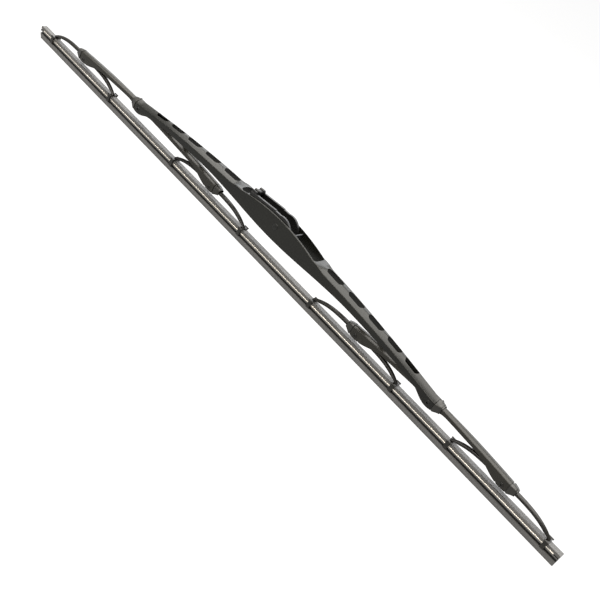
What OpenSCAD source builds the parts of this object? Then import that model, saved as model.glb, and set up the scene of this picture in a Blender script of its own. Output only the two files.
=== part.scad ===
// Framed wiper blade with a steel bridge, two secondary levers and four claw yokes.
// X runs along the blade, Z points away from the glass and the origin is the axis of
// the pin that carries the wiper arm's adapter. Heights are given above the wiping lip.

/* [Squeegee] */
// Height of the arm pin's axis above the wiping lip
pin_height = 40; // [39.5:0.5:46]
// Height of the rubber from the lip to the top of its head
rubber_height = 12.4; // [12.1:0.1:12.5]
// Width of the rubber's head
head_width = 5.8; // [5.6:0.1:6.2]
// Height of the lip bar under the neck
lip_bar_height = 5.8; // [5:0.1:5.9]
// Width of the lip bar at its shoulder
shoulder_width = 4.4; // [3.6:0.1:5.4]
// Thickness of the wiping lip at its edge
lip_width = 0.8; // [0.6:0.1:1.2]
// Height of the groove that takes the claws
neck_height = 2.1; // [2:0.1:2.4]
// Thickness of the neck
neck_width = 1.4; // [1.2:0.1:1.8]
// Rubber that stands past the last claw on the left
overhang_left = 20; // [14:1:30]
// Rubber that stands past the last claw on the right
overhang_right = 13; // [12:1:25]

/* [Flexor strips] */
// Thickness of a spring strip
flexor_thickness = 0.8; // [0.6:0.1:0.9]
// Width of a spring strip
flexor_width = 2.4; // [2:0.1:2.5]
// How far a strip stands out of the side of the head
flexor_stand_out = 0.3; // [0.2:0.05:0.4]
// How far a strip ends short of the rubber
flexor_setback = 4.5; // [2:0.5:8]
// Height of a strip's underside above the lip
flexor_seat = 9.6; // [9.4:0.1:9.9]
// Length of the locking notches beside the right end claw
notch_length = 2.4; // [1.5:0.1:4]

/* [Bridge] */
// Distance from the arm pin to the left lever's pivot
bridge_left = 181; // [178:1:188]
// Distance from the arm pin to the right lever's pivot
bridge_right = 181; // [178:1:190]
// Height of the bridge's spine at the middle
spine_apex = 43.2; // [42.5:0.1:45]
// Height of the bridge's spine at its ends
spine_end = 30.5; // [30.4:0.1:31]
// Width of the bridge around the arm pin
bridge_width = 15; // [14.8:0.1:16]
// Width of the bridge at its ends
bridge_end_width = 10.6; // [10.5:0.1:10.9]
// Sheet of the bridge
bridge_sheet = 0.9; // [0.8:0.05:1]
// Height of the raised cheeks at the arm pin
cheek_peak = 48; // [47.5:0.5:51]
// Radius of the cheeks' upper edge
cheek_radius = 170; // [150:1:190]
// Depth of the bridge's walls beside the cheeks
wall_depth = 7.6; // [6.5:0.1:8.5]
// Depth of the bridge's walls near its ends
wall_depth_end = 5.6; // [5:0.1:6.2]
// Extra depth of the walls under the arm pin
belly = 6.5; // [5:0.1:8]
// Window in the spine, from the arm pin to its left end
window_left = 47; // [45:0.5:50]
// Window in the spine, from the arm pin to its right end
window_right = 45.5; // [42:0.5:50]
// Width of the slots in the spine
slot_width = 6; // [4.8:0.1:6.6]
// Length of the slots nearest the arm pin
slot_long = 17.8; // [14:0.2:19]
// Length of the slots nearest the ends
slot_short = 14.8; // [12:0.2:16]
// Slots on each side of the window
slot_count = 5; // [3:1:6]

/* [Levers] */
// Left lever, from its own pivot to its outer yoke
left_outer_arm = 85.1; // [80:0.1:95]
// Left lever, from its own pivot to its inner yoke
left_inner_arm = 103.5; // [98:0.1:106]
// Right lever, from its own pivot to its inner yoke
right_inner_arm = 76; // [70:1:86]
// Right lever, from its own pivot to its outer yoke
right_outer_arm = 76; // [70:1:90]
// Width of a lever at its yokes
lever_width = 7.2; // [7.1:0.1:7.6]
// Width of a lever at its own pivot, inside the bridge
lever_waist = 5.8; // [5.2:0.1:5.9]
// Sheet of a lever
lever_sheet = 0.7; // [0.6:0.05:0.8]
// Height of a lever's top at its own pivot
lever_top = 29; // [28.4:0.1:29]
// Height of a lever's top at its ends
lever_end = 25.4; // [24.8:0.1:25.8]
// Depth of a lever's walls beside its own pivot
lever_depth = 4.2; // [3.8:0.1:4.8]
// Depth of a lever's walls towards its yokes
lever_depth_end = 4.1; // [3.8:0.1:5.2]
// Height of the levers' own pivots
lever_pivot_height = 24.6; // [24.4:0.1:24.7]

/* [Yokes] */
// Distance between the two claws of a yoke
yoke_span = 93.6; // [84:0.5:100]
// Width of a yoke at its pivot
yoke_width = 4.2; // [3.9:0.1:4.5]
// Width of a yoke at its claws
yoke_tip_width = 3.4; // [3:0.1:3.8]
// Sheet of a yoke
yoke_sheet = 0.7; // [0.6:0.05:0.8]
// Height of a yoke's top at its pivot
yoke_top = 22.7; // [22.4:0.1:23]
// Height of the yokes' pivots
yoke_pivot_height = 19.4; // [19.2:0.1:19.6]
// Length of a claw along the blade
claw_length = 3.2; // [2.6:0.1:4]
// Thickness of a claw
claw_sheet = 0.8; // [0.7:0.05:1]
// Width of the tee at the top of a claw
claw_ear = 0.3; // [0.2:0.1:0.6]

/* [Pivots] */
// Diameter of the lever rivets
lever_rivet = 2.4; // [2:0.1:2.6]
// Diameter of the yoke rivets
yoke_rivet = 2; // [1.6:0.1:2.4]
// Diameter of the arm pin
arm_pin = 4; // [3.6:0.1:4.8]
// Thickness of the rivet heads
rivet_head = 0.45; // [0.3:0.05:0.7]
// How far a channel's end stands past its pivot
channel_past = 4.6; // [4:0.1:6]
// Length of a cap's nose past the channel's end
nose_length = 6; // [5:0.5:9]
// Wall of a cap beside the inner lever
cap_wall = 0.6; // [0.5:0.05:0.8]

/* [Arm adapter] */
// Thickness of the adapter's side walls
adapter_wall = 1.6; // [1.4:0.1:1.7]
// Height of the adapter's rails at their left end
rail_left = 47.4; // [47:0.1:48]
// Height of the adapter's rails beside the nose
rail_right = 50.5; // [50:0.1:51]
// Radius of the adapter's nose
nose_radius = 12; // [11.8:0.1:12.4]
// Distance from the arm pin to the adapter's left end
adapter_left = 36.5; // [34:0.5:38]
// Distance from the arm pin to the adapter's front bar
adapter_right = 18.5; // [17:0.5:24]
// Diameter of the barrel that the arm's hook wraps round
barrel_diameter = 7.4; // [7:0.1:8.4]
// Height of the seat for the arm's hook
seat_height = 44.2; // [43.8:0.1:44.6]

/* [Clearances] */
// Side clearance between a lever and what carries it
side_gap = 0.3; // [0.25:0.01:0.35]
// Radial clearance of a turning joint on its rivet
turn_gap = 0.05; // [0.03:0.01:0.08]
// Radial clearance of a rivet in the pieces that it is fixed in
fixed_gap = 0.02; // [0.01:0.01:0.03]
// Clearance between the claws and the squeegee
claw_gap = 0.25; // [0.22:0.01:0.3]

/* [Hidden] */
$fn = 48;
steel = [0.10, 0.10, 0.10];
plastic = [0.16, 0.16, 0.16];
// Inward ledge that the cheeks keep along the window
window_ledge = 0.25;
// Half length of the parallel middle of the bridge
parallel_half = 58;
// Reach of the deeper walls on each side of the arm pin
belly_reach = 95;
// Distance over which the walls get shallower towards an end
wall_taper = 56;
// Length of the round bulge round a pivot
bulge_reach = 18;
// Power that shapes the fall of a lever's top towards its ends
lever_power = 1.8;
// Depth of a channel's round bulge below the pivot it carries, and of a lever's below its own
bridge_bulge = 3.6;
lever_bulge = 2.9;
yoke_bulge = 3;
// Corner radius of the bent sheet
fold = 2.2;
end_fold = 2.2;
cheek_fold = 1.3;
lever_fold = 1.6;
yoke_fold = 1.2;
// Distance from the window's end to the middle of the first slot
slot_offset = 18.6;
// Distance from a lever's pivot to the middle of the last slot
slot_from_pivot = 26.7;
// How much closer together the slots stand towards an end
slot_crowding = 0.14;
// Facets of one fold
fold_steps = 2;
// Power that shapes the drop of a yoke's arms towards its claws
yoke_power = 3.9;
// Reach of a yoke's arch, past the claw
yoke_reach = 1.7;
// How far a yoke's arm runs past the middle of its claw
yoke_past = 1;
// Depth of a yoke's walls along its arms and at its claws
yoke_depth = 2.8;
yoke_tip_depth = 1.5;
// Distance from a yoke's pivot to where its arms bend down to the claws
yoke_bend = 40;
// Depth and reach of the bulge round a yoke's own pivot
yoke_hub = 2.4;
yoke_hub_reach = 13;
// Distance from a yoke's pivot to the notch in the lever's lower edge
notch_setback = 4.6;
// Thickness of the plates that a cap's nose is drawn between
plate = 0.6;
// Right end of the adapter's raised rails, and the step down there
rail_end = -8;
rail_step = 0.5;
// Height of the rails above the middle of the nose's arc
nose_drop = 11.6;
nose_x = 2.5;

pivot_left = -bridge_left;
pivot_right = bridge_right;
yoke_x = [pivot_left - left_outer_arm, pivot_left + left_inner_arm,
    pivot_right - right_inner_arm, pivot_right + right_outer_arm];
rubber_start = yoke_x[0] - yoke_span / 2 - overhang_left;
rubber_end = yoke_x[3] + yoke_span / 2 + overhang_right;
claw_inside = head_width / 2 + flexor_stand_out + claw_gap;
claw_top = rubber_height + claw_gap;
adapter_width = bridge_width - 2 * (bridge_sheet + window_ledge + side_gap);

// Places its children so that heights above the lip become heights from the arm pin
module above_lip() {
    translate([0, 0, -pin_height]) children();
}

// Joins rings of points, one after another, into one bent sheet. The first half of each
// ring runs round the sheet's outside and the second half comes back round its inside.
module loft(rings) {
    n = len(rings[0]);
    m = len(rings);
    end = (m - 1) * n;
    sides = [for (i = [0:m - 2], j = [0:n - 1], k = [0:1])
        k == 0 ? [i * n + j, i * n + (j + 1) % n, (i + 1) * n + (j + 1) % n]
            : [i * n + j, (i + 1) * n + (j + 1) % n, (i + 1) * n + j]];
    first = [for (j = [0:n / 2 - 2], k = [0:1])
        k == 0 ? [j, n - 2 - j, j + 1] : [j, n - 1 - j, n - 2 - j]];
    last = [for (j = [0:n / 2 - 2], k = [0:1])
        k == 0 ? [end + j, end + j + 1, end + n - 2 - j] : [end + j, end + n - 2 - j, end + n - 1 - j]];
    polyhedron(points = [for (r = rings) each r], faces = concat(first, sides, last), convexity = 8);
}

// One corner of a bent sheet, as points on a quarter circle
function corner(y, z, r, from, steps) =
    [for (i = [0:steps]) [y + r * cos(from - 90 * i / steps), z + r * sin(from - 90 * i / steps)]];

// Half of a bent sheet's section, from the foot of one wall to the foot of the other
function shell(low, top, half, r) = concat([[-half, low]],
    corner(-half + r, top - r, r, 180, fold_steps), corner(half - r, top - r, r, 90, fold_steps),
    [[half, low]]);

// Section of an open channel at x: two walls and the web that joins them
function channel(x, top, depth, half, sheet, r) = let (
    outside = shell(top - depth, top, half, r),
    inside = shell(top - depth, top - sheet, half - sheet, r - sheet),
    back = [for (i = [len(inside) - 1:-1:0]) inside[i]])
    [for (p = concat(outside, back)) [x, p[0], p[1]]];

// Eases from 0 to 1
function ease(t) = let (c = min(max(t, 0), 1)) c * c * (3 - 2 * c);
function mix(a, b, t) = a + (b - a) * t;

// A smooth hump of height 1 over the given reach
function hump(d, reach) = abs(d) >= reach ? 0 : (1 + cos(180 * d / reach)) / 2;

function arm_of(x) = x < 0 ? bridge_left : bridge_right;
function spine(x) = spine_apex - (spine_apex - spine_end) * pow(min(abs(x) / arm_of(x), 1), 2);
function cheek(x) = cheek_peak - x * x / (2 * cheek_radius);
function bridge_top(x) = max(spine(x), cheek(x));
function past_pivot(x) = abs(abs(x) - arm_of(x));
function bridge_low(x) = let (
    thin = ease((abs(x) - wall_taper) / (arm_of(x) - wall_taper)),
    depth = mix(wall_depth, wall_depth_end, thin) + belly * hump(x, belly_reach),
    bulge_low = lever_pivot_height - bridge_bulge)
    min(spine(x) - depth, mix(spine(x) - depth, bulge_low, hump(past_pivot(x), bulge_reach)));
function bridge_half(x) = mix(bridge_width, bridge_end_width,
    ease((abs(x) - parallel_half) / (arm_of(x) - parallel_half - bulge_reach))) / 2;
function bridge_fold(x) = let (arm_end = ease((abs(x) - arm_of(x) + 2 * bulge_reach) / bulge_reach))
    mix(mix(cheek_fold, fold, ease((abs(x) - window_right + 3) / 14)), end_fold, arm_end);

// Stations along one arm of the bridge, closer together where its shape changes
function bridge_stations(arm) = concat(
    [for (i = [0:6]) mix(0, window_right, i / 6)],
    [for (i = [1:8]) mix(window_right, arm - bulge_reach, i / 8)],
    [for (i = [1:6]) mix(arm - bulge_reach, arm + channel_past, i / 6)]);

module primary_bridge() {
    left = bridge_stations(bridge_left);
    right = bridge_stations(bridge_right);
    xs = concat([for (i = [len(left) - 1:-1:1]) -left[i]], right);
    color(steel) above_lip() difference() {
        loft([for (x = xs) channel(x, bridge_top(x), bridge_top(x) - bridge_low(x),
            bridge_half(x), bridge_sheet, bridge_fold(x))]);
        window();
        spine_slots(bridge_left, -1, window_left);
        spine_slots(bridge_right, 1, window_right);
        for (x = [pivot_left, pivot_right]) {
            cross_hole(x, lever_pivot_height, lever_rivet / 2 + fixed_gap, bridge_end_width);
            locating_notch(x - sign(x) * notch_setback, lever_pivot_height - bridge_bulge);
        }
        cross_hole(0, pin_height, arm_pin / 2 + fixed_gap, bridge_width);
    }
}

// Opening between the cheeks, with round corners
module window() {
    half = bridge_width / 2 - bridge_sheet - window_ledge;
    left_r = 4.5;
    right_r = 2.5;
    translate([0, 0, spine_apex - belly]) linear_extrude(height = 2 * belly) union() {
        translate([-window_left + left_r, -half])
            square([window_left + window_right - left_r - right_r, 2 * half]);
        for (s = [-1, 1]) {
            translate([-window_left + left_r, s * (half - left_r)]) circle(r = left_r);
            translate([window_right - right_r, s * (half - right_r)]) circle(r = right_r);
        }
        translate([-window_left, left_r - half]) square([left_r, 2 * (half - left_r)]);
        translate([window_right - right_r, right_r - half]) square([right_r, 2 * (half - right_r)]);
    }
}

// Long slots along the spine, longer towards the middle
module spine_slots(arm, side, window_end) {
    first = window_end + slot_offset;
    last = arm - slot_from_pivot;
    for (i = [0:slot_count - 1]) {
        t = i / (slot_count - 1);
        x = mix(first, last, t + slot_crowding * t * (1 - t));
        half = mix(slot_long, slot_short, t) / 2;
        width = mix(slot_width, slot_width - 1, t);
        translate([side * x, 0, spine(x) - 4]) linear_extrude(height = 8) slot(half, width);
    }
}

module slot(half, width) {
    square([2 * half - width, width], center = true);
    for (s = [-1, 1]) translate([s * (half - width / 2), 0]) circle(d = width);
}

// A hole across the blade
module cross_hole(x, z, r, width) {
    translate([x, width, z]) rotate([90, 0, 0]) cylinder(r = r, h = 2 * width);
}

// Height of a lever's top at distance s along an arm of the given length
function lever_line(s, arm) = mix(lever_top, lever_end, pow(s / (arm + channel_past), lever_power));
function lever_low(s, arm) = let (
    back = lever_line(s, arm) - mix(lever_depth, lever_depth_end, s / arm),
    hub = mix(back, lever_pivot_height - lever_bulge, hump(s, bulge_reach)))
    mix(hub, yoke_pivot_height - yoke_bulge, hump(s - arm, 1.5 * bulge_reach));
function lever_half(s, arm) = mix(lever_waist, lever_width, ease((2 * s - bulge_reach) / arm)) / 2;

function lever_stations(arm) = let (waist = arm - 1.5 * bulge_reach) concat(
    [for (i = [0:3]) bulge_reach * i / 3],
    [for (i = [1:4]) mix(bulge_reach, waist, i / 4)],
    [for (i = [1:9]) mix(waist, arm + channel_past, i / 9)]);

// The section of a lever at distance s along the arm on the given side
function lever_ring(side, s, arm) = channel(side * s, lever_line(s, arm),
    lever_line(s, arm) - lever_low(s, arm), lever_half(s, arm), lever_sheet, lever_fold);

module secondary_lever(x, left_arm, right_arm) {
    left = lever_stations(left_arm);
    right = lever_stations(right_arm);
    color(steel) above_lip() translate([x, 0, 0]) difference() {
        loft(concat([for (i = [len(left) - 1:-1:1]) lever_ring(-1, left[i], left_arm)],
            [for (s = right) lever_ring(1, s, right_arm)]));
        cross_hole(0, lever_pivot_height, lever_rivet / 2 + turn_gap, lever_width);
        for (end = [-left_arm, right_arm]) {
            cross_hole(end, yoke_pivot_height, yoke_rivet / 2 + fixed_gap, lever_width);
            locating_notch(end - sign(end) * notch_setback, yoke_pivot_height - yoke_bulge);
        }
    }
}

// Small notch in the lower edge of a channel's walls
module locating_notch(x, z) {
    side = 1.4;
    translate([x, bridge_width, z]) rotate([90, 45, 0])
        translate([-side / 2, -side / 2, 0]) cube([side, side, 2 * bridge_width]);
}

// Height of a yoke's top, by distance d from its pivot
function yoke_line(d) = mix(yoke_top, claw_top + yoke_tip_depth,
    pow(min(abs(d) / (yoke_span / 2 + yoke_reach), 1), yoke_power));
function yoke_low(d) = let (
    depth = mix(yoke_depth, yoke_tip_depth, ease((abs(d) - yoke_bend) / (yoke_span / 2 - yoke_bend))))
    mix(yoke_line(d) - depth, yoke_pivot_height - yoke_hub, hump(d, yoke_hub_reach));

function yoke_stations() = let (half = yoke_span / 2) concat(
    [for (i = [0:4]) yoke_hub_reach * i / 4],
    [for (i = [1:3]) mix(yoke_hub_reach, yoke_bend, i / 3)],
    [for (i = [1:8]) mix(yoke_bend, half + yoke_past, i / 8)]);

module yoke(x) {
    arm = yoke_stations();
    ds = concat([for (i = [len(arm) - 1:-1:1]) -arm[i]], arm);
    color(steel) above_lip() translate([x, 0, 0]) difference() {
        union() {
            loft([for (d = ds) channel(d, yoke_line(d), yoke_line(d) - yoke_low(d),
                mix(yoke_width, yoke_tip_width, ease((abs(d) - yoke_hub_reach) / yoke_bend)) / 2,
                yoke_sheet, yoke_fold)]);
            for (s = [-1, 1]) translate([s * yoke_span / 2, 0, 0]) claw();
        }
        cross_hole(0, yoke_pivot_height, yoke_rivet / 2 + turn_gap, yoke_width);
    }
}

// A claw: a bar across the squeegee's head with two legs that hook into the neck groove
module claw() {
    outside = claw_inside + claw_sheet;
    top = claw_top + claw_sheet;
    groove_low = lip_bar_height + claw_gap;
    tip_top = lip_bar_height + neck_height - claw_gap;
    tip = neck_width / 2 + 2 * claw_gap;
    half_section = [[0, top], [outside - 0.6, top], [outside, top - 0.6], [outside, groove_low + 0.4],
        [outside - 0.5, groove_low], [tip, groove_low], [tip, tip_top], [claw_inside, tip_top],
        [claw_inside, claw_top], [0, claw_top]];
    section = concat(half_section,
        [for (i = [len(half_section) - 2:-1:1]) [-half_section[i][0], half_section[i][1]]]);
    translate([-claw_length / 2, 0, 0]) rotate([90, 0, 90]) linear_extrude(height = claw_length)
        polygon(section);
    for (s = [-1, 1]) translate([0, s * (outside - 0.3), top - 0.2]) rotate([0, 90, 0])
        cylinder(d = 1 + claw_ear, h = claw_length + 1, center = true, $fn = 16);
}

// Plastic cap in a channel's end: a tapered nose past the end and two liner walls inside.
// mouth and tip are each [half width, height of the top, height of the foot].
module cap(side, channel_half, inside, mouth, tip, pin_r) {
    wall = channel_half - inside;
    foot = min(mouth[2], tip[2]) - 1;
    color(plastic) difference() {
        union() {
            hull() {
                translate([side * channel_past, 0, 0]) end_plate(side, mouth, 1.6);
                translate([side * (channel_past + nose_length - plate), 0, 0])
                    end_plate(side, tip, 1.2);
            }
            for (s = [-1, 1]) translate([0, s * (inside + wall / 2), 0]) liner(side, wall);
        }
        // Way through for the inner lever
        translate([side > 0 ? 0 : -channel_past - nose_length - 1, -inside, foot])
            cube([channel_past + nose_length + 1, 2 * inside, tip[1] - cap_wall - foot]);
        translate([-4, -inside, foot]) cube([8, 2 * inside, tip[1] - foot]);
        cross_hole(0, 0, pin_r, 2 * channel_half);
    }
}

// A thin plate across the blade with two round top corners
module end_plate(side, size, r) {
    half = size[0];
    top = size[1];
    translate([side > 0 ? 0 : -plate, 0, 0]) rotate([90, 0, 90]) linear_extrude(height = plate) {
        translate([-half, size[2]]) square([2 * half, top - r - size[2]]);
        for (s = [-1, 1]) translate([s * (half - r), top - r]) circle(r = r, $fn = 24);
        translate([-half + r, top - 2 * r]) square([2 * (half - r), 2 * r]);
    }
}

// A flat cheek beside the rivet, joined to the nose
module liner(side, wall) {
    r = 2.2;
    length = channel_past + plate / 2;
    rotate([90, 0, 0]) cylinder(r = r, h = wall, center = true);
    translate([side > 0 ? 0 : -length, -wall / 2, -r]) cube([length, wall, 2 * r]);
}

// A rivet across the blade, with a shallow domed head at each end
module rivet(x, z, r, width, head) {
    half = width / 2;
    head_r = r + head;
    color(steel) above_lip() translate([x, 0, z]) rotate([90, 0, 0]) rotate_extrude()
        polygon([[0, -half - rivet_head], [head_r * 0.6, -half - rivet_head * 0.85],
            [head_r, -half - rivet_head * 0.3], [head_r, -half], [r, -half], [r, half],
            [head_r, half], [head_r, half + rivet_head * 0.3],
            [head_r * 0.6, half + rivet_head * 0.85], [0, half + rivet_head]]);
}

module lever_cap(side, x) {
    inside = lever_waist / 2 + side_gap;
    z = lever_pivot_height;
    mouth = [bridge_end_width / 2, spine_end - z, bridge_low(x + side * channel_past) - z];
    tip = [inside + cap_wall, lever_top + 1.5 - z, -1.4];
    above_lip() translate([x, 0, z])
        cap(side, bridge_end_width / 2 - bridge_sheet, inside, mouth, tip, lever_rivet / 2 + fixed_gap);
}

module yoke_cap(side, x, arm) {
    inside = yoke_width / 2 + side_gap;
    z = yoke_pivot_height;
    mouth = [lever_width / 2, lever_end - z, lever_low(arm + channel_past, arm) - z];
    tip = [inside + cap_wall, yoke_top + 1.8 - z, -0.6];
    above_lip() translate([x, 0, z])
        cap(side, lever_width / 2 - lever_sheet, inside, mouth, tip, yoke_rivet / 2 + fixed_gap);
}

module arm_adapter() {
    color(plastic) above_lip() difference() {
        union() {
            for (s = [-1, 1]) adapter_side(s);
            adapter_floor();
            thumb_tab();
            front_bar();
            translate([0, adapter_width / 2, pin_height]) rotate([90, 0, 0])
                cylinder(d = barrel_diameter, h = adapter_width);
        }
        cross_hole(0, pin_height, arm_pin / 2 + turn_gap, adapter_width);
    }
}

// One side wall, with the rail's slope, the round nose and the low arm to the front bar
module adapter_side(s) {
    nose_z = rail_right - nose_drop;
    arc = [for (a = [110:-8:14]) [nose_x + nose_radius * cos(a), nose_z + nose_radius * sin(a)]];
    outline = concat([[-adapter_left, seat_height - 2.4], [-adapter_left, rail_left]],
        [[rail_end, rail_right], [rail_end, rail_right - rail_step]], arc,
        [[adapter_right, nose_z + 6.7], [adapter_right, nose_z + 4.5], [13, nose_z - 1],
        [6, pin_height - 5.6], [-6, pin_height - 5.6], [-12, seat_height - 5]]);
    translate([0, s * (adapter_width - adapter_wall) / 2, 0]) rotate([90, 0, 0])
        linear_extrude(height = adapter_wall, center = true) polygon(outline);
}

// Floor between the rails, the seat for the arm's hook, and the tongue behind it
module adapter_floor() {
    half = adapter_width / 2 - 0.4;
    outline = [[-adapter_left - 3.5, seat_height - 3.4], [-adapter_left - 3.5, seat_height - 2],
        [-adapter_left + 6.4, seat_height], [-3.2, seat_height], [-1, pin_height + 3],
        [-1, pin_height + 1.5], [-6, seat_height - 1.4], [-adapter_left + 2, seat_height - 1.4]];
    rotate([90, 0, 0]) linear_extrude(height = 2 * half, center = true) polygon(outline);
}

// Ribbed tab across the rails at the left end
module thumb_tab() {
    x = -adapter_left;
    half = adapter_width / 2 - 0.4;
    outline = [[x, seat_height - 1], [x, rail_left + 0.6], [x + 1.2, rail_left + 2.2],
        [x + 4.4, rail_left + 2.4], [x + 5.4, rail_left + 0.4], [x + 5.4, rail_left - 1],
        [x + 1.6, rail_left - 1.4], [x + 1.6, seat_height - 1]];
    rotate([90, 0, 0]) linear_extrude(height = 2 * half, center = true) polygon(outline);
    for (y = [-3, 3]) translate([x + 3, y, rail_left + 2.2]) rotate([0, 90, 0])
        cylinder(d = 2.2, h = 4.4, center = true, $fn = 24);
}

// Bar across the adapter's front
module front_bar() {
    half = adapter_width / 2 - 0.4;
    translate([adapter_right - 1.8, -half, rail_right - nose_drop + 4.8]) cube([1.8, 2 * half, 1.9]);
}

module squeegee_rubber() {
    slot_in = head_width / 2 - (flexor_width - flexor_stand_out);
    head = head_width / 2;
    groove = lip_bar_height + neck_height;
    slot_top = flexor_seat + flexor_thickness;
    half_section = [[lip_width / 2, 0], [lip_width / 2, 1], [shoulder_width / 2, lip_bar_height - 1],
        [shoulder_width / 2, lip_bar_height - 0.3], [shoulder_width / 2 - 0.3, lip_bar_height],
        [neck_width / 2, lip_bar_height], [neck_width / 2, groove], [head - 0.2, groove],
        [head, groove + 0.2], [head, flexor_seat], [slot_in, flexor_seat], [slot_in, slot_top],
        [head, slot_top], [head, rubber_height - 0.5], [head - 0.5, rubber_height]];
    section = concat(half_section,
        [for (i = [len(half_section) - 1:-1:0]) [-half_section[i][0], half_section[i][1]]]);
    color([0.14, 0.14, 0.14]) above_lip() translate([rubber_start, 0, 0]) rotate([90, 0, 90])
        linear_extrude(height = rubber_end - rubber_start) polygon(section);
}

// A spring strip in one side slot of the head, notched beside the right end claw
module flexor_strip(side) {
    inner = head_width / 2 + flexor_stand_out - flexor_width;
    last_claw = yoke_x[3] + yoke_span / 2;
    edge = side > 0 ? inner + flexor_width : -inner - flexor_width;
    start = rubber_start + flexor_setback;
    length = rubber_end - rubber_start - 2 * flexor_setback;
    gap = claw_length / 2 + notch_length / 2 + 1;
    color("silver") above_lip() difference() {
        translate([start, side > 0 ? inner : -inner - flexor_width, flexor_seat])
            cube([length, flexor_width, flexor_thickness]);
        for (x = [last_claw - gap, last_claw + gap]) {
            translate([x - notch_length / 2, edge - flexor_stand_out, flexor_seat - 1])
                cube([notch_length, 2 * flexor_stand_out, flexor_thickness + 2]);
        }
    }
}

primary_bridge();
secondary_lever(pivot_left, left_outer_arm, left_inner_arm);  // secondary_lever_left
secondary_lever(pivot_right, right_inner_arm, right_outer_arm);  // secondary_lever_right
yoke(yoke_x[0]);  // yoke_left_outer
yoke(yoke_x[1]);  // yoke_left_inner
yoke(yoke_x[2]);  // yoke_right_inner
yoke(yoke_x[3]);  // yoke_right_outer
lever_cap(-1, pivot_left);  // lever_cap_left
lever_cap(1, pivot_right);  // lever_cap_right
yoke_cap(-1, yoke_x[0], left_outer_arm);  // yoke_cap_left_outer
yoke_cap(1, yoke_x[1], left_inner_arm);  // yoke_cap_left_inner
yoke_cap(-1, yoke_x[2], right_inner_arm);  // yoke_cap_right_inner
yoke_cap(1, yoke_x[3], right_outer_arm);  // yoke_cap_right_outer
rivet(pivot_left, lever_pivot_height, lever_rivet / 2, bridge_end_width, 0.8);  // lever_rivet_left
rivet(pivot_right, lever_pivot_height, lever_rivet / 2, bridge_end_width, 0.8);  // lever_rivet_right
rivet(yoke_x[0], yoke_pivot_height, yoke_rivet / 2, lever_width, 0.7);  // yoke_rivet_left_outer
rivet(yoke_x[1], yoke_pivot_height, yoke_rivet / 2, lever_width, 0.7);  // yoke_rivet_left_inner
rivet(yoke_x[2], yoke_pivot_height, yoke_rivet / 2, lever_width, 0.7);  // yoke_rivet_right_inner
rivet(yoke_x[3], yoke_pivot_height, yoke_rivet / 2, lever_width, 0.7);  // yoke_rivet_right_outer
rivet(0, pin_height, arm_pin / 2, bridge_width, 0.6);
arm_adapter();
squeegee_rubber();
flexor_strip(-1);  // flexor_strip_near
flexor_strip(1);  // flexor_strip_far
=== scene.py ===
"""Looks for a framed wiper blade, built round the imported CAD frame.

Sizes are millimetres in the CAD's own frame: X along the blade, Y away from the viewer, Z away from
the glass, with the origin on the arm pin's axis. Heights count from the wiping lip's edge, which is
PIN_HEIGHT below the origin. Meshes are scaled to metres as they are made.
"""
import logging
import math
from collections.abc import Callable
from dataclasses import dataclass
from enum import Enum
from itertools import pairwise

import bmesh
import bpy
from mathutils import Matrix, Vector

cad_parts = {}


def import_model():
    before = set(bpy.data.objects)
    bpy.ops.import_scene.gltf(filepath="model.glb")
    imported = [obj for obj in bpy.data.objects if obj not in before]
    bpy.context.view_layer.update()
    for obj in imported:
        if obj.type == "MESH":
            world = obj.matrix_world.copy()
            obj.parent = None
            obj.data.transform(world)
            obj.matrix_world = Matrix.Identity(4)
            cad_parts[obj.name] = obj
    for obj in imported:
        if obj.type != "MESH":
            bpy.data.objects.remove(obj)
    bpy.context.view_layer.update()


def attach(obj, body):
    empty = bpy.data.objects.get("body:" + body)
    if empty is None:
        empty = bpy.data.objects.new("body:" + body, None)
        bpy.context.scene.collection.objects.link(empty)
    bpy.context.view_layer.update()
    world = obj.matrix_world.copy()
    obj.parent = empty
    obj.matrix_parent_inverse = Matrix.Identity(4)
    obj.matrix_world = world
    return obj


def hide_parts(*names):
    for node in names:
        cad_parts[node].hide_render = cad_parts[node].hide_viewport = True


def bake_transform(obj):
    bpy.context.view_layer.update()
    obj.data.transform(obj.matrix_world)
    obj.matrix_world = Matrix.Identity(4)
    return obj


LOG = logging.getLogger("wiper_blade")
MM = 0.001
WELD = 0.001 * MM  # points of a new mesh that are closer than this become one
PIN_HEIGHT = 40.0  # the arm pin's axis above the lip
CROWN_POWER = 1.5  # a crowned web falls from its ridge with this power of the distance
NOTCH_IN = 4.6  # the small notches sit this far inside their pivots
CLEAR = 0.3  # the caps' clearance round what passes through them
Point = tuple[float, float, float]
Profile = list[tuple[float, float]]


class Side(Enum):
    """A direction along the blade."""

    LEFT = -1
    RIGHT = 1


def ease(t: float) -> float:
    """Eases from 0 to 1 over t from 0 to 1."""
    c = min(max(t, 0.0), 1.0)
    return c * c * (3 - 2 * c)


def mix(a: float, b: float, t: float) -> float:
    """Value a share t of the way from a to b."""
    return a + (b - a) * t


def hump(d: float, reach: float) -> float:
    """Smooth hump of height 1 over the given reach on each side of 0."""
    return 0.0 if abs(d) >= reach else (1 + math.cos(math.pi * d / reach)) / 2


def spread(start: float, end: float, pitch: float) -> list[float]:
    """Even stations from start to end, no further apart than pitch."""
    count = max(1, math.ceil(abs(end - start) / pitch))
    return [mix(start, end, i / count) for i in range(count + 1)]


def arc(x: float, y: float, radius: float, start: float, end: float, steps: int) -> Profile:
    """Points of an arc, both ends included.

    Args:
        x: First coordinate of the centre.
        y: Second coordinate of the centre.
        radius: Radius.
        start: Angle of the first point in degrees.
        end: Angle of the last point in degrees.
        steps: Number of chords.

    Returns:
        The points.
    """
    turns = [math.radians(mix(start, end, i / steps)) for i in range(steps + 1)]
    return [(x + radius * math.cos(a), y + radius * math.sin(a)) for a in turns]


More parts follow.
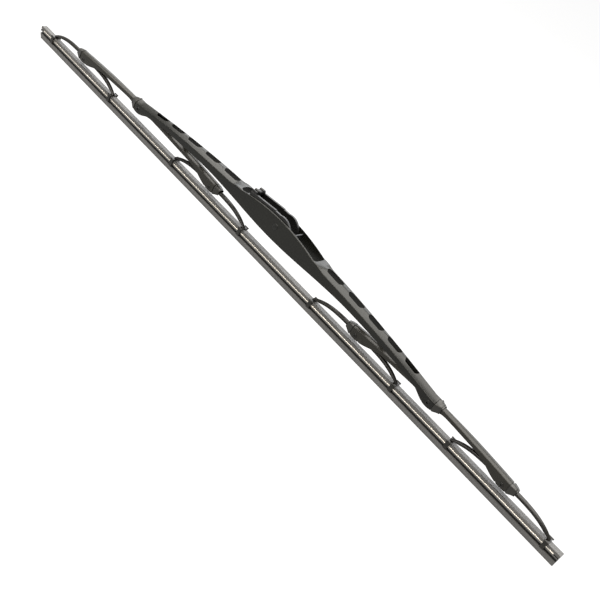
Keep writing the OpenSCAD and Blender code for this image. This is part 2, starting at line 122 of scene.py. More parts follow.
def circle(x: float, y: float, radius: float, count: int) -> Profile:
    """Points of a whole circle, each one once."""
    return arc(x, y, radius, 0, 360, count)[:-1]


# Node trees


def arithmetic(operation: str, swapped: bool = False) -> Callable:
    """Makes an operator of Value.

    Args:
        operation: The Math node's operation.
        swapped: Whether the other value comes first.

    Returns:
        The operator, as a method.
    """
    def apply(self: "Value", other: "Value | float") -> "Value":
        """Adds the Math node."""
        pair = (other, self) if swapped else (self, other)
        return self.nodes.add("ShaderNodeMath", dict(enumerate(pair)), operation=operation)

    return apply


class Value:
    """A node's output that takes part in arithmetic."""

    def __init__(self, nodes: "Nodes", socket: bpy.types.NodeSocket | None) -> None:
        """Keeps the output.

        Args:
            nodes: The tree under construction that it belongs to.
            socket: The output socket.
        """
        self.nodes = nodes
        self.socket = socket

    __add__ = __radd__ = arithmetic("ADD")
    __sub__ = arithmetic("SUBTRACT")
    __rsub__ = arithmetic("SUBTRACT", swapped=True)
    __mul__ = __rmul__ = arithmetic("MULTIPLY")
    __truediv__ = arithmetic("DIVIDE")

    def above(self, edge: float, width: float) -> "Value":
        """Soft step from 0 to 1 round an edge, reaching a width on each side of it."""
        return self.nodes.add("ShaderNodeMapRange", {"Value": self, "From Min": edge - width, "From Max": edge + width},
                              interpolation_type="SMOOTHSTEP")


class Nodes:
    """A node tree under construction."""

    def __init__(self, tree: bpy.types.NodeTree) -> None:
        """Keeps the tree.

        Args:
            tree: The tree.
        """
        self.tree = tree

    def add(self, kind: str, inputs: dict | None = None, out: int | str = 0, **settings: str) -> Value:
        """Adds a node.

        Args:
            kind: The node's type.
            inputs: Numbers, colours or Values by socket name or number. A list links all that it holds.
            out: Which output is wanted.
            settings: The node's own properties.

        Returns:
            The output.
        """
        node = self.tree.nodes.new(kind)
        for key, value in settings.items():
            setattr(node, key, value)
        for key, value in (inputs or {}).items():
            for one in value if isinstance(value, list) else [value]:
                if isinstance(one, Value):
                    self.tree.links.new(one.socket, node.inputs[key])
                else:
                    node.inputs[key].default_value = one
        return Value(self, node.outputs[out] if len(node.outputs) else None)

    def open_rays(self) -> Value:
        """Adds up the rays that see plain white.

        Returns:
            1 for camera, glossy and transmission rays, and 0 for the others.
        """
        kinds = ("Is Camera Ray", "Is Glossy Ray", "Is Transmission Ray")
        seen, mirrored, through = (self.add("ShaderNodeLightPath", out=kind) for kind in kinds)
        return seen + mirrored + through


class Recipe(Nodes):
    """A Geometry Nodes tree that works on a piece's mesh and takes named numbers."""

    def __init__(self, name: str, *inputs: str) -> None:
        """Makes the tree and its sockets.

        Args:
            name: The tree's name.
            inputs: The numbers' names. Count is a whole number.
        """
        super().__init__(bpy.data.node_groups.new(name, "GeometryNodeTree"))
        face = self.tree.interface
        for way in ("OUTPUT", "INPUT"):
            face.new_socket("Geometry", in_out=way, socket_type="NodeSocketGeometry")
        for one in inputs:
            kind = "NodeSocketInt" if one == "Count" else "NodeSocketFloat"
            face.new_socket(one, in_out="INPUT", socket_type=kind)
        self.group = self.tree.nodes.new("NodeGroupInput")

    def __getitem__(self, name: str) -> Value:
        """A named input."""
        return Value(self, self.group.outputs[name])

    def close(self, geometry: Value) -> None:
        """Ends the tree in Realize Instances and Set Material."""
        real = self.add("GeometryNodeRealizeInstances", {"Geometry": geometry})
        self.add("NodeGroupOutput", {0: self.add("GeometryNodeSetMaterial", {"Geometry": real})})

    def run(self, piece: bpy.types.Object, values: dict[str, float]) -> bpy.types.Object:
        """Runs the tree on a piece.

        Args:
            piece: The object.
            values: The tree's numbers by name.

        Returns:
            The object, with the result as its plain mesh.
        """
        step = piece.modifiers.new("recipe", "NODES")
        step.node_group = self.tree
        ids = {s.name: s.identifier for s in self.tree.interface.items_tree if s.in_out == "INPUT"}
        for name, value in values.items():
            step[ids[name]] = value
        return settle(piece)


# Finishes


class Surface(Nodes):
    """A material under construction, with the patterns that the finishes share."""

    def __init__(self, name: str) -> None:
        """Makes the material, still empty.

        Args:
            name: The material's name.
        """
        self.material = bpy.data.materials.new(name)
        self.material.use_nodes = True
        super().__init__(self.material.node_tree)
        self.tree.nodes.clear()
        self.place = self.add("ShaderNodeTexCoord", out="Object")

    def noise(self, size: float, detail: float = 2.0, along: Point = (1.0, 1.0, 1.0)) -> Value:
        """Noise of about the given grain.

        Args:
            size: Grain in millimetres.
            detail: Octaves.
            along: Factor on each axis, below 1 where the grain is drawn out.

        Returns:
            A value round 0.5.
        """
        drawn = self.add("ShaderNodeVectorMath", {0: self.place, 1: along}, operation="MULTIPLY")
        return self.add("ShaderNodeTexNoise", {"Vector": drawn, "Scale": 1 / (size * MM), "Detail": detail})

    def colour(self, dark: Point | Value, light: Point | Value, share: Value) -> Value:
        """Colour between two others.

        Args:
            dark: The colour at 0.
            light: The colour at 1.
            share: Where between them.

        Returns:
            The colour.
        """
        ends = {6 + i: c if isinstance(c, Value) else (*c, 1.0) for i, c in enumerate((dark, light))}
        return self.add("ShaderNodeMix", {"Factor": share, **ends}, out=2, data_type="RGBA")

    def bump(self, height: Value, depth: float, under: Value | None = None) -> Value:
        """Bump node.

        Args:
            height: Height from 0 to 1.
            depth: Depth in millimetres.
            under: A coarser bump below it.

        Returns:
            The normal.
        """
        links = {"Height": height, "Strength": 1.0, "Distance": depth * MM}
        if under is not None:
            links["Normal"] = under
        return self.add("ShaderNodeBump", links)

    def done(self, links: dict) -> bpy.types.Material:
        """Closes the material with a Principled shader, whose sockets take the links."""
        self.add("ShaderNodeOutputMaterial", {"Surface": self.add("ShaderNodeBsdfPrincipled", links)})
        return self.material


@dataclass(frozen=True)
class Paint:
    """Satin powder coat on sheet steel, with orange peel and a faint polish on its high edges.

    peel is the grain of the orange peel and depth its height, in millimetres. rub is the strength of
    the polish and shine that of the reflection.
    """

    name: str
    dark: Point
    light: Point
    roughness: float
    peel: float = 0.9
    depth: float = 0.0016
    rub: float = 0.35
    shine: float = 0.2

    def build(self) -> bpy.types.Material:
        """Builds the material.

        Returns:
            The material.
        """
        s = Surface(self.name)
        cloud = s.noise(26.0, 3.0, (0.35, 1.0, 1.0))
        grain = s.noise(self.peel)
        fine = s.noise(0.22, 1.0)
        speck = s.noise(0.6, 0.0).above(0.74, 0.03)
        edge = s.add("ShaderNodeNewGeometry", out="Pointiness").above(0.56, 0.05)
        body = s.colour(self.dark, self.light, cloud.above(0.5, 0.22))
        worn, bare = (tuple(c * gain + lift for c in self.light) for gain, lift in ((1.6, 0.012), (1.3, 0.0)))
        tint = s.colour(body, s.colour(worn, bare, fine), edge * self.rub)
        rough = self.roughness + (cloud - 0.5) * 0.10 + (grain - 0.5) * 0.08 + speck * 0.10 - edge * 0.08
        normal = s.bump(fine, self.depth * 0.2, s.bump(grain, self.depth))
        return s.done({"Base Color": tint, "Roughness": rough, "Normal": normal, "Specular IOR Level": self.shine})


@dataclass(frozen=True)
class Moulded:
    """Injection-moulded plastic with a spark-eroded texture and faint flow marks.

    grain is the texture's grain and depth its height, in millimetres. shine is the strength of the
    reflection.
    """

    name: str
    dark: Point
    light: Point
    roughness: float
    grain: float = 0.35
    depth: float = 0.005
    shine: float = 0.3

    def build(self) -> bpy.types.Material:
        """Builds the material.

        Returns:
            The material.
        """
        s = Surface(self.name)
        flow = s.noise(9.0, 3.0, (0.25, 1.0, 1.0))
        grain = s.noise(self.grain)
        smear = s.noise(3.5, 2.0, (0.4, 1.0, 1.0)).above(0.56, 0.12)
        tint = s.colour(self.dark, self.light, flow.above(0.5, 0.25))
        rough = self.roughness + (flow - 0.5) * 0.14 + smear * 0.07 + (grain - 0.5) * 0.08
        return s.done({"Base Color": tint, "Roughness": rough, "Normal": s.bump(grain, self.depth),
                       "Specular IOR Level": self.shine})


@dataclass(frozen=True)
class Rubber:
    """Extruded rubber with die lines along the blade and a graphite bloom.

    The groove below the head is painted near black, as painted shade under the head, and is rougher there. groove is
    the groove's lower and upper edge above the lip, and soft is how soft the painted shade's edges are at each of them.
    """

    name: str
    dark: Point
    light: Point
    # Painted shade: near black painted into the groove under the head's overhang
    groove_shade: Point = (0.004, 0.004, 0.003)
    roughness: float = 0.5
    groove: tuple[float, float] = (5.65, 8.1)
    soft: tuple[float, float] = (0.15, 0.2)

    def build(self) -> bpy.types.Material:
        """Builds the material.

        Returns:
            The material.
        """
        s = Surface(self.name)
        lines = s.noise(0.8, 1.0, (0.004, 1.0, 1.0))
        bloom = s.noise(5.0, 4.0, (0.2, 1.0, 1.0))
        grit = s.noise(0.18)
        share = bloom.above(0.5, 0.2) * 0.6 + (lines - 0.5) * 0.4 + grit * 0.1 + 0.1
        bloomed = s.colour(self.dark, self.light, share)
        # Painted shade: the band between the groove's edges gets the near black colour and more roughness
        height = s.add("ShaderNodeSeparateXYZ", {0: s.place}, out="Z")
        low, high = (height.above((z - PIN_HEIGHT) * MM, soft * MM) for z, soft in zip(self.groove, self.soft))
        groove = low - high
        rough = self.roughness + (bloom - 0.5) * 0.16 + (grit - 0.5) * 0.12 + groove * 0.35
        return s.done({"Base Color": s.colour(bloomed, self.groove_shade, groove), "Roughness": rough,
                       "Normal": s.bump(grit, 0.0003, s.bump(lines, 0.0015)), "Specular IOR Level": 0.5})


@dataclass(frozen=True)
class SpringSteel:
    """Bright rolled strip, with rolling lines along it and a light oil film."""

    name: str
    dark: Point
    light: Point
    roughness: float = 0.36

    def build(self) -> bpy.types.Material:
        """Builds the material.

        Returns:
            The material.
        """
        s = Surface(self.name)
        lines = s.noise(0.5, 1.0, (0.003, 1.0, 1.0))
        film = s.noise(14.0, 3.0, (0.3, 1.0, 1.0))
        tint = s.colour(self.dark, self.light, film.above(0.5, 0.2) * 0.6 + lines * 0.5)
        rough = self.roughness + (lines - 0.5) * 0.06 + (film - 0.5) * 0.06
        return s.done({"Base Color": tint, "Roughness": rough, "Metallic": 1.0, "Normal": s.bump(lines, 0.0002)})


FINISHES = {one.name: one for one in (
    Paint("bridge_paint", (0.0030, 0.0031, 0.0021), (0.0048, 0.0049, 0.0035), roughness=0.29),
    Paint("lever_paint", (0.0075, 0.0070, 0.0050), (0.0108, 0.0101, 0.0075), roughness=0.30),
    Paint("yoke_paint", (0.0045, 0.0041, 0.0032), (0.0070, 0.0065, 0.0052), roughness=0.28),
    Paint("rivet_paint", (0.0030, 0.0030, 0.0024), (0.0045, 0.0045, 0.0038), roughness=0.28),
    Moulded("cap_plastic", (0.0080, 0.0076, 0.0058), (0.0115, 0.0110, 0.0088), roughness=0.33),
    Moulded("adapter_plastic", (0.0035, 0.0035, 0.0035), (0.0060, 0.0060, 0.0055), roughness=0.3,
            grain=0.5, depth=0.001, shine=0.22),
    Rubber("squeegee", (0.029, 0.028, 0.0255), (0.046, 0.044, 0.0415)),
    SpringSteel("spring_steel", (0.52, 0.48, 0.41), (0.68, 0.63, 0.55)),
)}


class Finishes:
    """Builds each finish once and hands it out by its slot."""

    def __init__(self) -> None:
        """Starts with no finish built."""
        self.made: dict[str, bpy.types.Material] = {}

    def __getitem__(self, slot: str) -> bpy.types.Material:
        """The material of a slot, which is built on its first use.

        Args:
            slot: The material slot, a key of FINISHES.

        Returns:
            The material.
        """
        if slot not in self.made:
            self.made[slot] = FINISHES[slot].build()
        return self.made[slot]


# Meshes


def link(name: str, data: bpy.types.ID) -> bpy.types.Object:
    """Makes an object.

    Args:
        name: The object's name.
        data: Its mesh, lamp or camera.

    Returns:
        The object, linked to the scene.
    """
    made = bpy.data.objects.new(name, data)
    bpy.context.scene.collection.objects.link(made)
    return made


def new_object(name: str, points: list[Point], faces: list[tuple[int, ...]]) -> bpy.types.Object:
    """Makes a mesh object from points in millimetres above the lip.

    Args:
        name: The object's name.
        points: Its vertices.
        faces: Its faces.

    Returns:
        The object, linked to the scene, with its normals outwards.
    """
    mesh = bpy.data.meshes.new(name)
    mesh.from_pydata([(x * MM, y * MM, (z - PIN_HEIGHT) * MM) for x, y, z in points], [], faces)
    made = link(name, mesh)
    rework(made, face_outwards)
    return made


def rework(piece: bpy.types.Object, *steps: Callable[[bmesh.types.BMesh], None]) -> None:
    """Runs bmesh steps on a piece's mesh.

    Args:
        piece: The object.
        steps: The steps in order.
    """
    work = bmesh.new()
    work.from_mesh(piece.data)
    for step in steps:
        step(work)
    work.to_mesh(piece.data)
    work.free()


def face_outwards(work: bmesh.types.BMesh) -> None:
    """Turns every face of a closed mesh outwards."""
    bmesh.ops.recalc_face_normals(work, faces=work.faces)


def weld(work: bmesh.types.BMesh) -> None:
    """Merges doubled points."""
    bmesh.ops.remove_doubles(work, verts=work.verts, dist=WELD)


def drop_slivers(work: bmesh.types.BMesh) -> None:
    """Merges what a cut left doubled or without an area."""
    bmesh.ops.remove_doubles(work, verts=work.verts, dist=2 * WELD)
    bmesh.ops.dissolve_degenerate(work, edges=work.edges, dist=2 * WELD)


def shade(piece: bpy.types.Object, angle: float) -> None:
    """Shades a piece smoothly, with edges sharp above an angle in degrees."""
    piece.data.shade_smooth()
    piece.data.set_sharp_from_angle(angle=math.radians(angle))


def prism(name: str, outline: Profile, low: float, high: float, along: str = "Y") -> bpy.types.Object:
    """Prism on a flat outline.

    Args:
        name: The object's name.
        outline: Corners, as (x, z) for a prism along Y, (y, z) along X or (x, y) along Z.
        low: Where it starts along its axis.
        high: Where it ends.
        along: Its axis.

    Returns:
        The object.
    """
    at = "XYZ".index(along)
    n = len(outline)
    points = [(*p[:at], d, *p[at:]) for d in (low, high) for p in outline]
    sides = [(i, (i + 1) % n, n + (i + 1) % n, n + i) for i in range(n)]
    return new_object(name, points, [tuple(range(n)), tuple(range(2 * n - 1, n - 1, -1)), *sides])


def rod(name: str, x: float, z: float, radius: float, half: float) -> bpy.types.Object:
    """Round rod across the blade."""
    return prism(name, circle(x, z, radius, 48), -half, half)


def notch(x: float, z: float) -> bpy.types.Object:
    """Cutter for the small locating notch in a channel's lower edge."""
    return prism("notch", circle(x, z, 1.0, 4), -16.0, 16.0)


def settle(piece: bpy.types.Object) -> bpy.types.Object:
    """Turns a piece's modifiers into its plain mesh.

    Args:
        piece: The object.

    Returns:
        The object, without modifiers.
    """
    graph = bpy.context.evaluated_depsgraph_get()
    graph.update()
    mesh = bpy.data.meshes.new_from_object(piece.evaluated_get(graph))
    piece.modifiers.clear()
    piece.data = mesh
    return piece


def join(pieces: list[bpy.types.Object]) -> bpy.types.Object:
    """Joins objects into the first one.

    Args:
        pieces: The objects. All but the first are deleted.

    Returns:
        The first object.
    """
    first, *others = pieces
    rework(first, *(lambda work, one=one: work.from_mesh(one.data) for one in others))
    for one in others:
        bpy.data.objects.remove(one)
    return first


def cut(piece: bpy.types.Object, tools: list[bpy.types.Object]) -> None:
    """Cuts tools out of a piece, one after another, and deletes them.

    Args:
        piece: The object that is cut.
        tools: The cutters.
    """
    for tool in tools:
        step = piece.modifiers.new("cut", "BOOLEAN")
        step.operation = "DIFFERENCE"
        step.solver = "EXACT"
        step.object = tool
        settle(piece)
        bpy.data.objects.remove(tool)


def soften(piece: bpy.types.Object, width: float, segments: int = 2) -> bpy.types.Object:
    """Rounds the sharp edges and shades the piece smoothly.

    Args:
        piece: The object.
        width: Width of the rounding in millimetres.
        segments: Facets of the rounding.

    Returns:
        The object, with a plain mesh.
    """
    rework(piece, drop_slivers)
    bevel = piece.modifiers.new("round", "BEVEL")
    bevel.width = width * MM
    bevel.segments = segments
    bevel.limit_method = "ANGLE"
    bevel.angle_limit = math.radians(32)
    bevel.use_clamp_overlap = True
    settle(piece)
    shade(piece, 50)
    weigh = piece.modifiers.new("weigh", "WEIGHTED_NORMAL")
    weigh.keep_sharp = True
    weigh.weight = 80
    return settle(piece)


@dataclass(frozen=True)
class Section:
    """Section of an open channel: walls joined by a crowned web with round folds.

    The walls run from low up to the folds of the given radius, and top is the ridge of the web. inner_half
    and inner_top say where the inside is, and the material is the rest.
    """

    x: float
    top: float
    low: float
    half: float
    inner_half: float
    inner_top: float
    radius: float
    crown: float
    least_radius: float = 0.15

    def ring(self, folds: int, rows: int) -> list[Point]:
        """Points round the outside and back round the inside.

        Args:
            folds: Facets of a fold.
            rows: Rows of faces up a wall.

        Returns:
            The ring.
        """
        radius = max(self.radius - (self.half - self.inner_half), self.least_radius)
        crown = self.crown * self.inner_half / self.half
        outside = self.skin(self.half, self.top, self.radius, self.crown, folds, rows)
        return outside + self.skin(self.inner_half, self.inner_top, radius, crown, folds, rows)[::-1]

    def skin(self, half: float, top: float, radius: float, crown: float, folds: int, rows: int) -> list[Point]:
        """One skin of the channel.

        Args:
            half: Half of its width.
            top: Height of its ridge.
            radius: Radius of its folds.
            crown: Height of the ridge above the web's edges, carried on to the folds' centres.
            folds: Facets of a fold.
            rows: Rows of faces up a wall.

        Returns:
            Its points, from the foot of the near wall to the foot of the far one.
        """
        slope = CROWN_POWER * crown / (half - radius)
        turn = math.pi / 2 - math.atan(slope)
        edge = half - radius + radius * math.cos(turn)
        drop = slope * edge / CROWN_POWER
        centre = top - drop - radius * math.sin(turn)
        wall = [(-half, mix(self.low, centre, i / rows)) for i in range(rows)]
        fold = arc(radius - half, centre, radius, 180, 180 - math.degrees(turn), folds)
        web = [(edge * t, top - drop * abs(t) ** CROWN_POWER) for t in (i / 4 - 1 for i in range(1, 8))]
        far = [(-y, z) for y, z in reversed(wall + fold)]
        return [(self.x, y, z) for y, z in wall + fold + web + far]


def sheet_channel(name: str, sections: list[Section], folds: int = 7, rows: int = 3) -> bpy.types.Object:
    """Lofts channel sections into one bent sheet.

    Args:
        name: The object's name.
        sections: Sections from left to right.
        folds: Facets of a fold.
        rows: Rows of faces up a wall.

    Returns:
        The object.
    """
    rings = [s.ring(folds, rows) for s in sections]
    n, m = len(rings[0]), len(rings)
    faces = [(i * n + j, i * n + (j + 1) % n, (i + 1) * n + (j + 1) % n, (i + 1) * n + j)
             for i in range(m - 1) for j in range(n)]
    for base in (0, (m - 1) * n):
        faces += [(base + j, base + j + 1, base + n - 2 - j, base + n - 1 - j) for j in range(n // 2 - 1)]
    return new_object(name, [p for ring in rings for p in ring], faces)


class Piece:
    """Hands finished pieces to the frame and reports them."""

    def __init__(self, finishes: Finishes) -> None:
        """Keeps the finishes and starts the count.

        Args:
            finishes: The finishes by slot.
        """
        self.finishes = finishes
        self.count = 0

    def dress(self, piece: bpy.types.Object, slot: str) -> None:
        """Gives a piece its slot's material and nothing else.

        Args:
            piece: The finished piece.
            slot: The material slot, a key of FINISHES.
        """
        piece.data.materials.clear()
        piece.data.materials.append(self.finishes[slot])
        for face in piece.data.polygons:
            face.material_index = 0

    def hand_over(self, piece: bpy.types.Object, slot: str, body: str, *nodes: str) -> None:
        """Dresses a piece, sets it on its body and lets it stand for its CAD nodes.

        Args:
            piece: The finished piece.
            slot: The material slot, a key of FINISHES.
            body: The CAD body that it moves with.
            nodes: The CAD nodes that it replaces.
        """
        self.dress(piece, slot)
        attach(piece, body)
        self.report(piece, body, nodes)

    def bend(self, piece: bpy.types.Object, slot: str, bodies: tuple[str, str], span: tuple[Point, Point],
             *nodes: str) -> None:
        """Dresses a piece that lies between two bodies, fixes it where it is without attaching it, and lets it stand
        for its CAD nodes.

        Args:
            piece: The finished piece.
            slot: The material slot, a key of FINISHES.
            bodies: The bodies at its start and end.
            span: Not used.
            nodes: The CAD nodes that it replaces.
        """
        self.dress(piece, slot)
        bodies[0]
        bodies[1]
        span[0]
        span[1]
        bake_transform(piece)
        self.report(piece, " to ".join(bodies), nodes)

    def report(self, piece: bpy.types.Object, body: str, nodes: tuple[str, ...]) -> None:
        """Hides the CAD nodes that a piece stands for, counts the piece and logs it.

        Args:
            piece: The finished piece.
            body: What it moves with.
            nodes: The CAD nodes.
        """
        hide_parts(*nodes)
        self.count += 1
        LOG.info("%s on %s: %d faces", piece.name, body, len(piece.data.polygons))


# Sub-assemblies


@dataclass
class Bridge:
    """The long bow with its raised cheeks, window and slots."""

    arm: float = 181.0
    channel_past: float = 4.6
    pivot_height: float = 24.6
    rivet_radius: float = 1.22
    sheet: float = 0.9
    edge: float = 0.16

    # Side view
    spine_apex: float = 43.2
    spine_end: float = 30.5
    cheek_peak: float = 48.0
    cheek_radius: float = 170.0
    wall_depth: float = 7.6
    wall_depth_end: float = 5.6
    wall_taper: float = 56.0
    belly: float = 6.5
    belly_reach: float = 95.0
    bulge: float = 3.6
    bulge_reach: float = 18.0

    # Plan
    width: float = 15.0
    end_width: float = 10.6
    parallel_half: float = 58.0
    window_left: float = 47.0
    window_right: float = 45.5
    window_corner_left: float = 4.5
    window_corner_right: float = 2.5
    window_ledge: float = 0.25
    window_depth: tuple[float, float] = (36.5, 52.0)

    # Folds and crown, with the lengths over which they change
    fold: float = 1.2
    cheek_fold: float = 1.0
    cheek_fold_back: float = 3.0
    cheek_fold_run: float = 14.0
    end_fold: float = 2.0
    end_fold_back: float = 45.0
    end_fold_run: float = 40.0
    crown: float = 2.3
    crown_rise: float = 1.1
    crown_past_window: float = 1.0
    crown_run: float = 9.0
    crown_end_share: float = 0.85
    crown_end_back: float = 6.0
    crown_end_run: float = 30.0

    # Slots, counted from the window outwards
    slot_count: int = 5
    slot_width: float = 7.0
    slot_long: float = 17.8
    slot_short: float = 14.8
    slot_offset: float = 18.6
    slot_offset_left: float = 16.6
    slot_from_pivot: float = 26.7
    slot_crowding: float = 0.14
    slot_cutter: float = 60.0

    # Stations
    fine_pitch: float = 1.4
    cheek_pitch: float = 1.6
    long_pitch: float = 3.0
    cheek_reach: float = 48.0

    def spine(self, x: float) -> float:
        """Height of the spine."""
        return self.spine_apex - (self.spine_apex - self.spine_end) * min(abs(x) / self.arm, 1) ** 2

    def top(self, x: float) -> float:
        """Height of the walls' upper edge: the cheeks', or the spine's where that is higher."""
        return max(self.spine(x), self.cheek_peak - x * x / (2 * self.cheek_radius))

    def low(self, x: float) -> float:
        """Height of the walls' lower edge.

        Args:
            x: Place along the blade.

        Returns:
            The height.
        """
        thin = ease((abs(x) - self.wall_taper) / (self.arm - self.wall_taper))
        depth = mix(self.wall_depth, self.wall_depth_end, thin) + self.belly * hump(x, self.belly_reach)
        base = self.spine(x) - depth
        return min(base, mix(base, self.pivot_height - self.bulge, hump(abs(x) - self.arm, self.bulge_reach)))

    def half(self, x: float) -> float:
        """Half of the width."""
        share = ease((abs(x) - self.parallel_half) / (self.arm - self.parallel_half - self.bulge_reach))
        return mix(self.width, self.end_width, share) / 2

    def crowned(self, x: float) -> float:
        """Share of the full crown: none at the cheeks, and less at the ends.

        Args:
            x: Place along the blade.

        Returns:
            The share.
        """
        start = ease((abs(x) - self.window_left - self.crown_past_window) / self.crown_run)
        end = ease((self.arm - self.crown_end_back - abs(x)) / self.crown_end_run)
        return start * mix(self.crown_end_share, 1.0, end)

    def section(self, x: float) -> Section:
        """The channel's section.

        Args:
            x: Place along the blade.

        Returns:
            The section.
        """
        out = ease((abs(x) - self.window_right + self.cheek_fold_back) / self.cheek_fold_run)
        end = ease((abs(x) - self.arm + self.end_fold_back) / self.end_fold_run)
        radius = mix(mix(self.cheek_fold, self.fold, out), self.end_fold, end)
        crowned = self.crowned(x)
        half, top = self.half(x), self.top(x) + self.crown_rise * crowned
        return Section(x, top, self.low(x), half, half - self.sheet, top - self.sheet, radius, self.crown * crowned)

    def window(self) -> bpy.types.Object:
        """Cutter for the opening between the cheeks.

        Returns:
            The cutter.
        """
        half = self.width / 2 - self.sheet - self.window_ledge
        left, right = (-self.window_left, self.window_corner_left), (self.window_right, self.window_corner_right)
        outline = []
        for (x, r), y, start in ((right, 1, 0), (left, 1, 90), (left, -1, 180), (right, -1, 270)):
            outline += arc(x - math.copysign(r, x), y * (half - r), r, start, start + 90, 10)
        return prism("window", outline, *self.window_depth, "Z")

    def slot_recipe(self) -> Recipe:
        """Makes the tree that cuts the row of slots along one arm.

        Returns:
            The tree, with named inputs for its sizes.
        """
        g = Recipe("spine_slots", "Count", "First", "Last", "Crowding", "Length", "Short Share", "Width")
        t = g.add("GeometryNodeInputIndex") / (g["Count"] - 1.0)
        place = g["First"] + (g["Last"] - g["First"]) * (t + g["Crowding"] * t * (1.0 - t))
        spot = g.add("ShaderNodeCombineXYZ", {0: place, 2: -PIN_HEIGHT * MM})
        points = g.add("GeometryNodePoints", {"Count": g["Count"], "Position": spot})
        box = g.add("GeometryNodeCurvePrimitiveQuadrilateral", {"Width": g["Length"], "Height": g["Width"]})
        stadium = g.add("GeometryNodeFilletCurve", {"Curve": box, "Count": 14, "Radius": g["Width"] * 0.499,
                                                    "Limit Radius": True}, mode="POLY")
        plate = g.add("GeometryNodeFillCurve", {"Curve": stadium}, mode="NGONS")
        tool = g.add("GeometryNodeExtrudeMesh", {"Mesh": plate, "Offset": (0.0, 0.0, 1.0),
                                                 "Offset Scale": self.slot_cutter * MM, "Individual": False})
        closed = g.add("GeometryNodeJoinGeometry", {0: [tool, g.add("GeometryNodeFlipFaces", {"Mesh": plate})]})
        solid = g.add("GeometryNodeMergeByDistance", {"Geometry": closed, "Distance": WELD})
        size = 1.0 + (g["Short Share"] - 1.0) * t
        scale = g.add("ShaderNodeCombineXYZ", {0: size, 1: size, 2: 1.0})
        row = g.add("GeometryNodeInstanceOnPoints", {"Points": points, "Instance": solid, "Scale": scale})
        real = g.add("GeometryNodeRealizeInstances", {"Geometry": row})
        g.close(g.add("GeometryNodeMeshBoolean", {"Mesh 1": g["Geometry"], "Mesh 2": real},
                      operation="DIFFERENCE", solver="EXACT"))
        return g

    def cut_slots(self, shell: bpy.types.Object) -> None:
        """Cuts both rows of slots out of the bridge.

        Args:
            shell: The bridge.
        """
        recipe = self.slot_recipe()
        firsts = (-self.window_left - self.slot_offset_left, self.window_right + self.slot_offset)
        for first in firsts:
            last = math.copysign(self.arm - self.slot_from_pivot, first)
            recipe.run(shell, {"Count": self.slot_count, "First": first * MM, "Last": last * MM,
                               "Crowding": self.slot_crowding, "Length": self.slot_long * MM,
                               "Short Share": self.slot_short / self.slot_long, "Width": self.slot_width * MM})

    def build(self, kit: Piece) -> None:
        """Builds and dresses the bridge.

        Args:
            kit: What takes the finished pieces.
        """
        reach, bulge = self.arm + self.channel_past, self.arm - self.bulge_reach
        out = spread(self.cheek_reach, bulge, self.long_pitch)[1:] + spread(bulge, reach, self.fine_pitch)[1:]
        stations = [-x for x in reversed(out)] + spread(-self.cheek_reach, self.cheek_reach, self.cheek_pitch) + out
        shell = sheet_channel("bridge_shell", [self.section(x) for x in stations])
        tools = [self.window()]
        for x in (-self.arm, self.arm):
            tools += [rod("hole", x, self.pivot_height, self.rivet_radius, self.width),
                      notch(x - math.copysign(NOTCH_IN, x), self.pivot_height - self.bulge)]
        cut(shell, tools)
        self.cut_slots(shell)
        soften(shell, self.edge)
        kit.hand_over(shell, "bridge_paint", "bridge", "primary_bridge")


@dataclass
class Lever:
    """A secondary lever: a channel that is narrow inside the bridge and widens to its yokes."""

    name: str
    body: str
    x: float
    left_arm: float
    right_arm: float
    width: float = 7.2
    waist: float = 5.8
    sheet: float = 0.7
    top: float = 29.0
    end: float = 25.4
    power: float = 1.8
    depth: float = 4.2
    depth_end: float = 4.1
    channel_past: float = 4.6
    fold: float = 1.0
    crown: float = 0.8
    pivot_height: float = 24.6
    bulge: float = 2.9
    bulge_reach: float = 18.0
    yoke_height: float = 19.4
    yoke_bulge: float = 3.0
    yoke_bulge_reach: float = 27.0
    pitch: float = 1.6
    edge: float = 0.14

    def line(self, s: float, arm: float) -> float:
        """Height of the top at distance s from the lever's pivot."""
        return mix(self.top, self.end, (s / (arm + self.channel_past)) ** self.power)

    def low(self, s: float, arm: float) -> float:
        """Height of the walls' lower edge.

        Args:
            s: Distance from the lever's pivot.
            arm: Distance of that side's yoke.

        Returns:
            The height.
        """
        back = self.line(s, arm) - mix(self.depth, self.depth_end, s / arm)
        hub = mix(back, self.pivot_height - self.bulge, hump(s, self.bulge_reach))
        return mix(hub, self.yoke_height - self.yoke_bulge, hump(s - arm, self.yoke_bulge_reach))

    def section(self, s: float) -> Section:
        """The channel's section.

        Args:
            s: Distance from the lever's pivot, below 0 to the left.

        Returns:
            The section.
        """
        d, arm = abs(s), self.left_arm if s < 0 else self.right_arm
        half = mix(self.waist, self.width, ease((2 * d - self.bulge_reach) / arm)) / 2
        top = self.line(d, arm)
        return Section(self.x + s, top, self.low(d, arm), half, half - self.sheet, top - self.sheet, self.fold,
                       self.crown)

    def build(self, kit: Piece) -> None:
        """Builds and dresses the lever.

        Args:
            kit: What takes the finished pieces.
        """
        stations = spread(-self.left_arm - self.channel_past, self.right_arm + self.channel_past, self.pitch)
        shell = sheet_channel(f"{self.name}_channel", [self.section(s) for s in stations])
        cut(shell, [notch(self.x + end - math.copysign(NOTCH_IN, end), self.yoke_height - self.yoke_bulge)
                    for end in (-self.left_arm, self.right_arm)])
        soften(shell, self.edge)
        kit.hand_over(shell, "lever_paint", self.body, self.name)


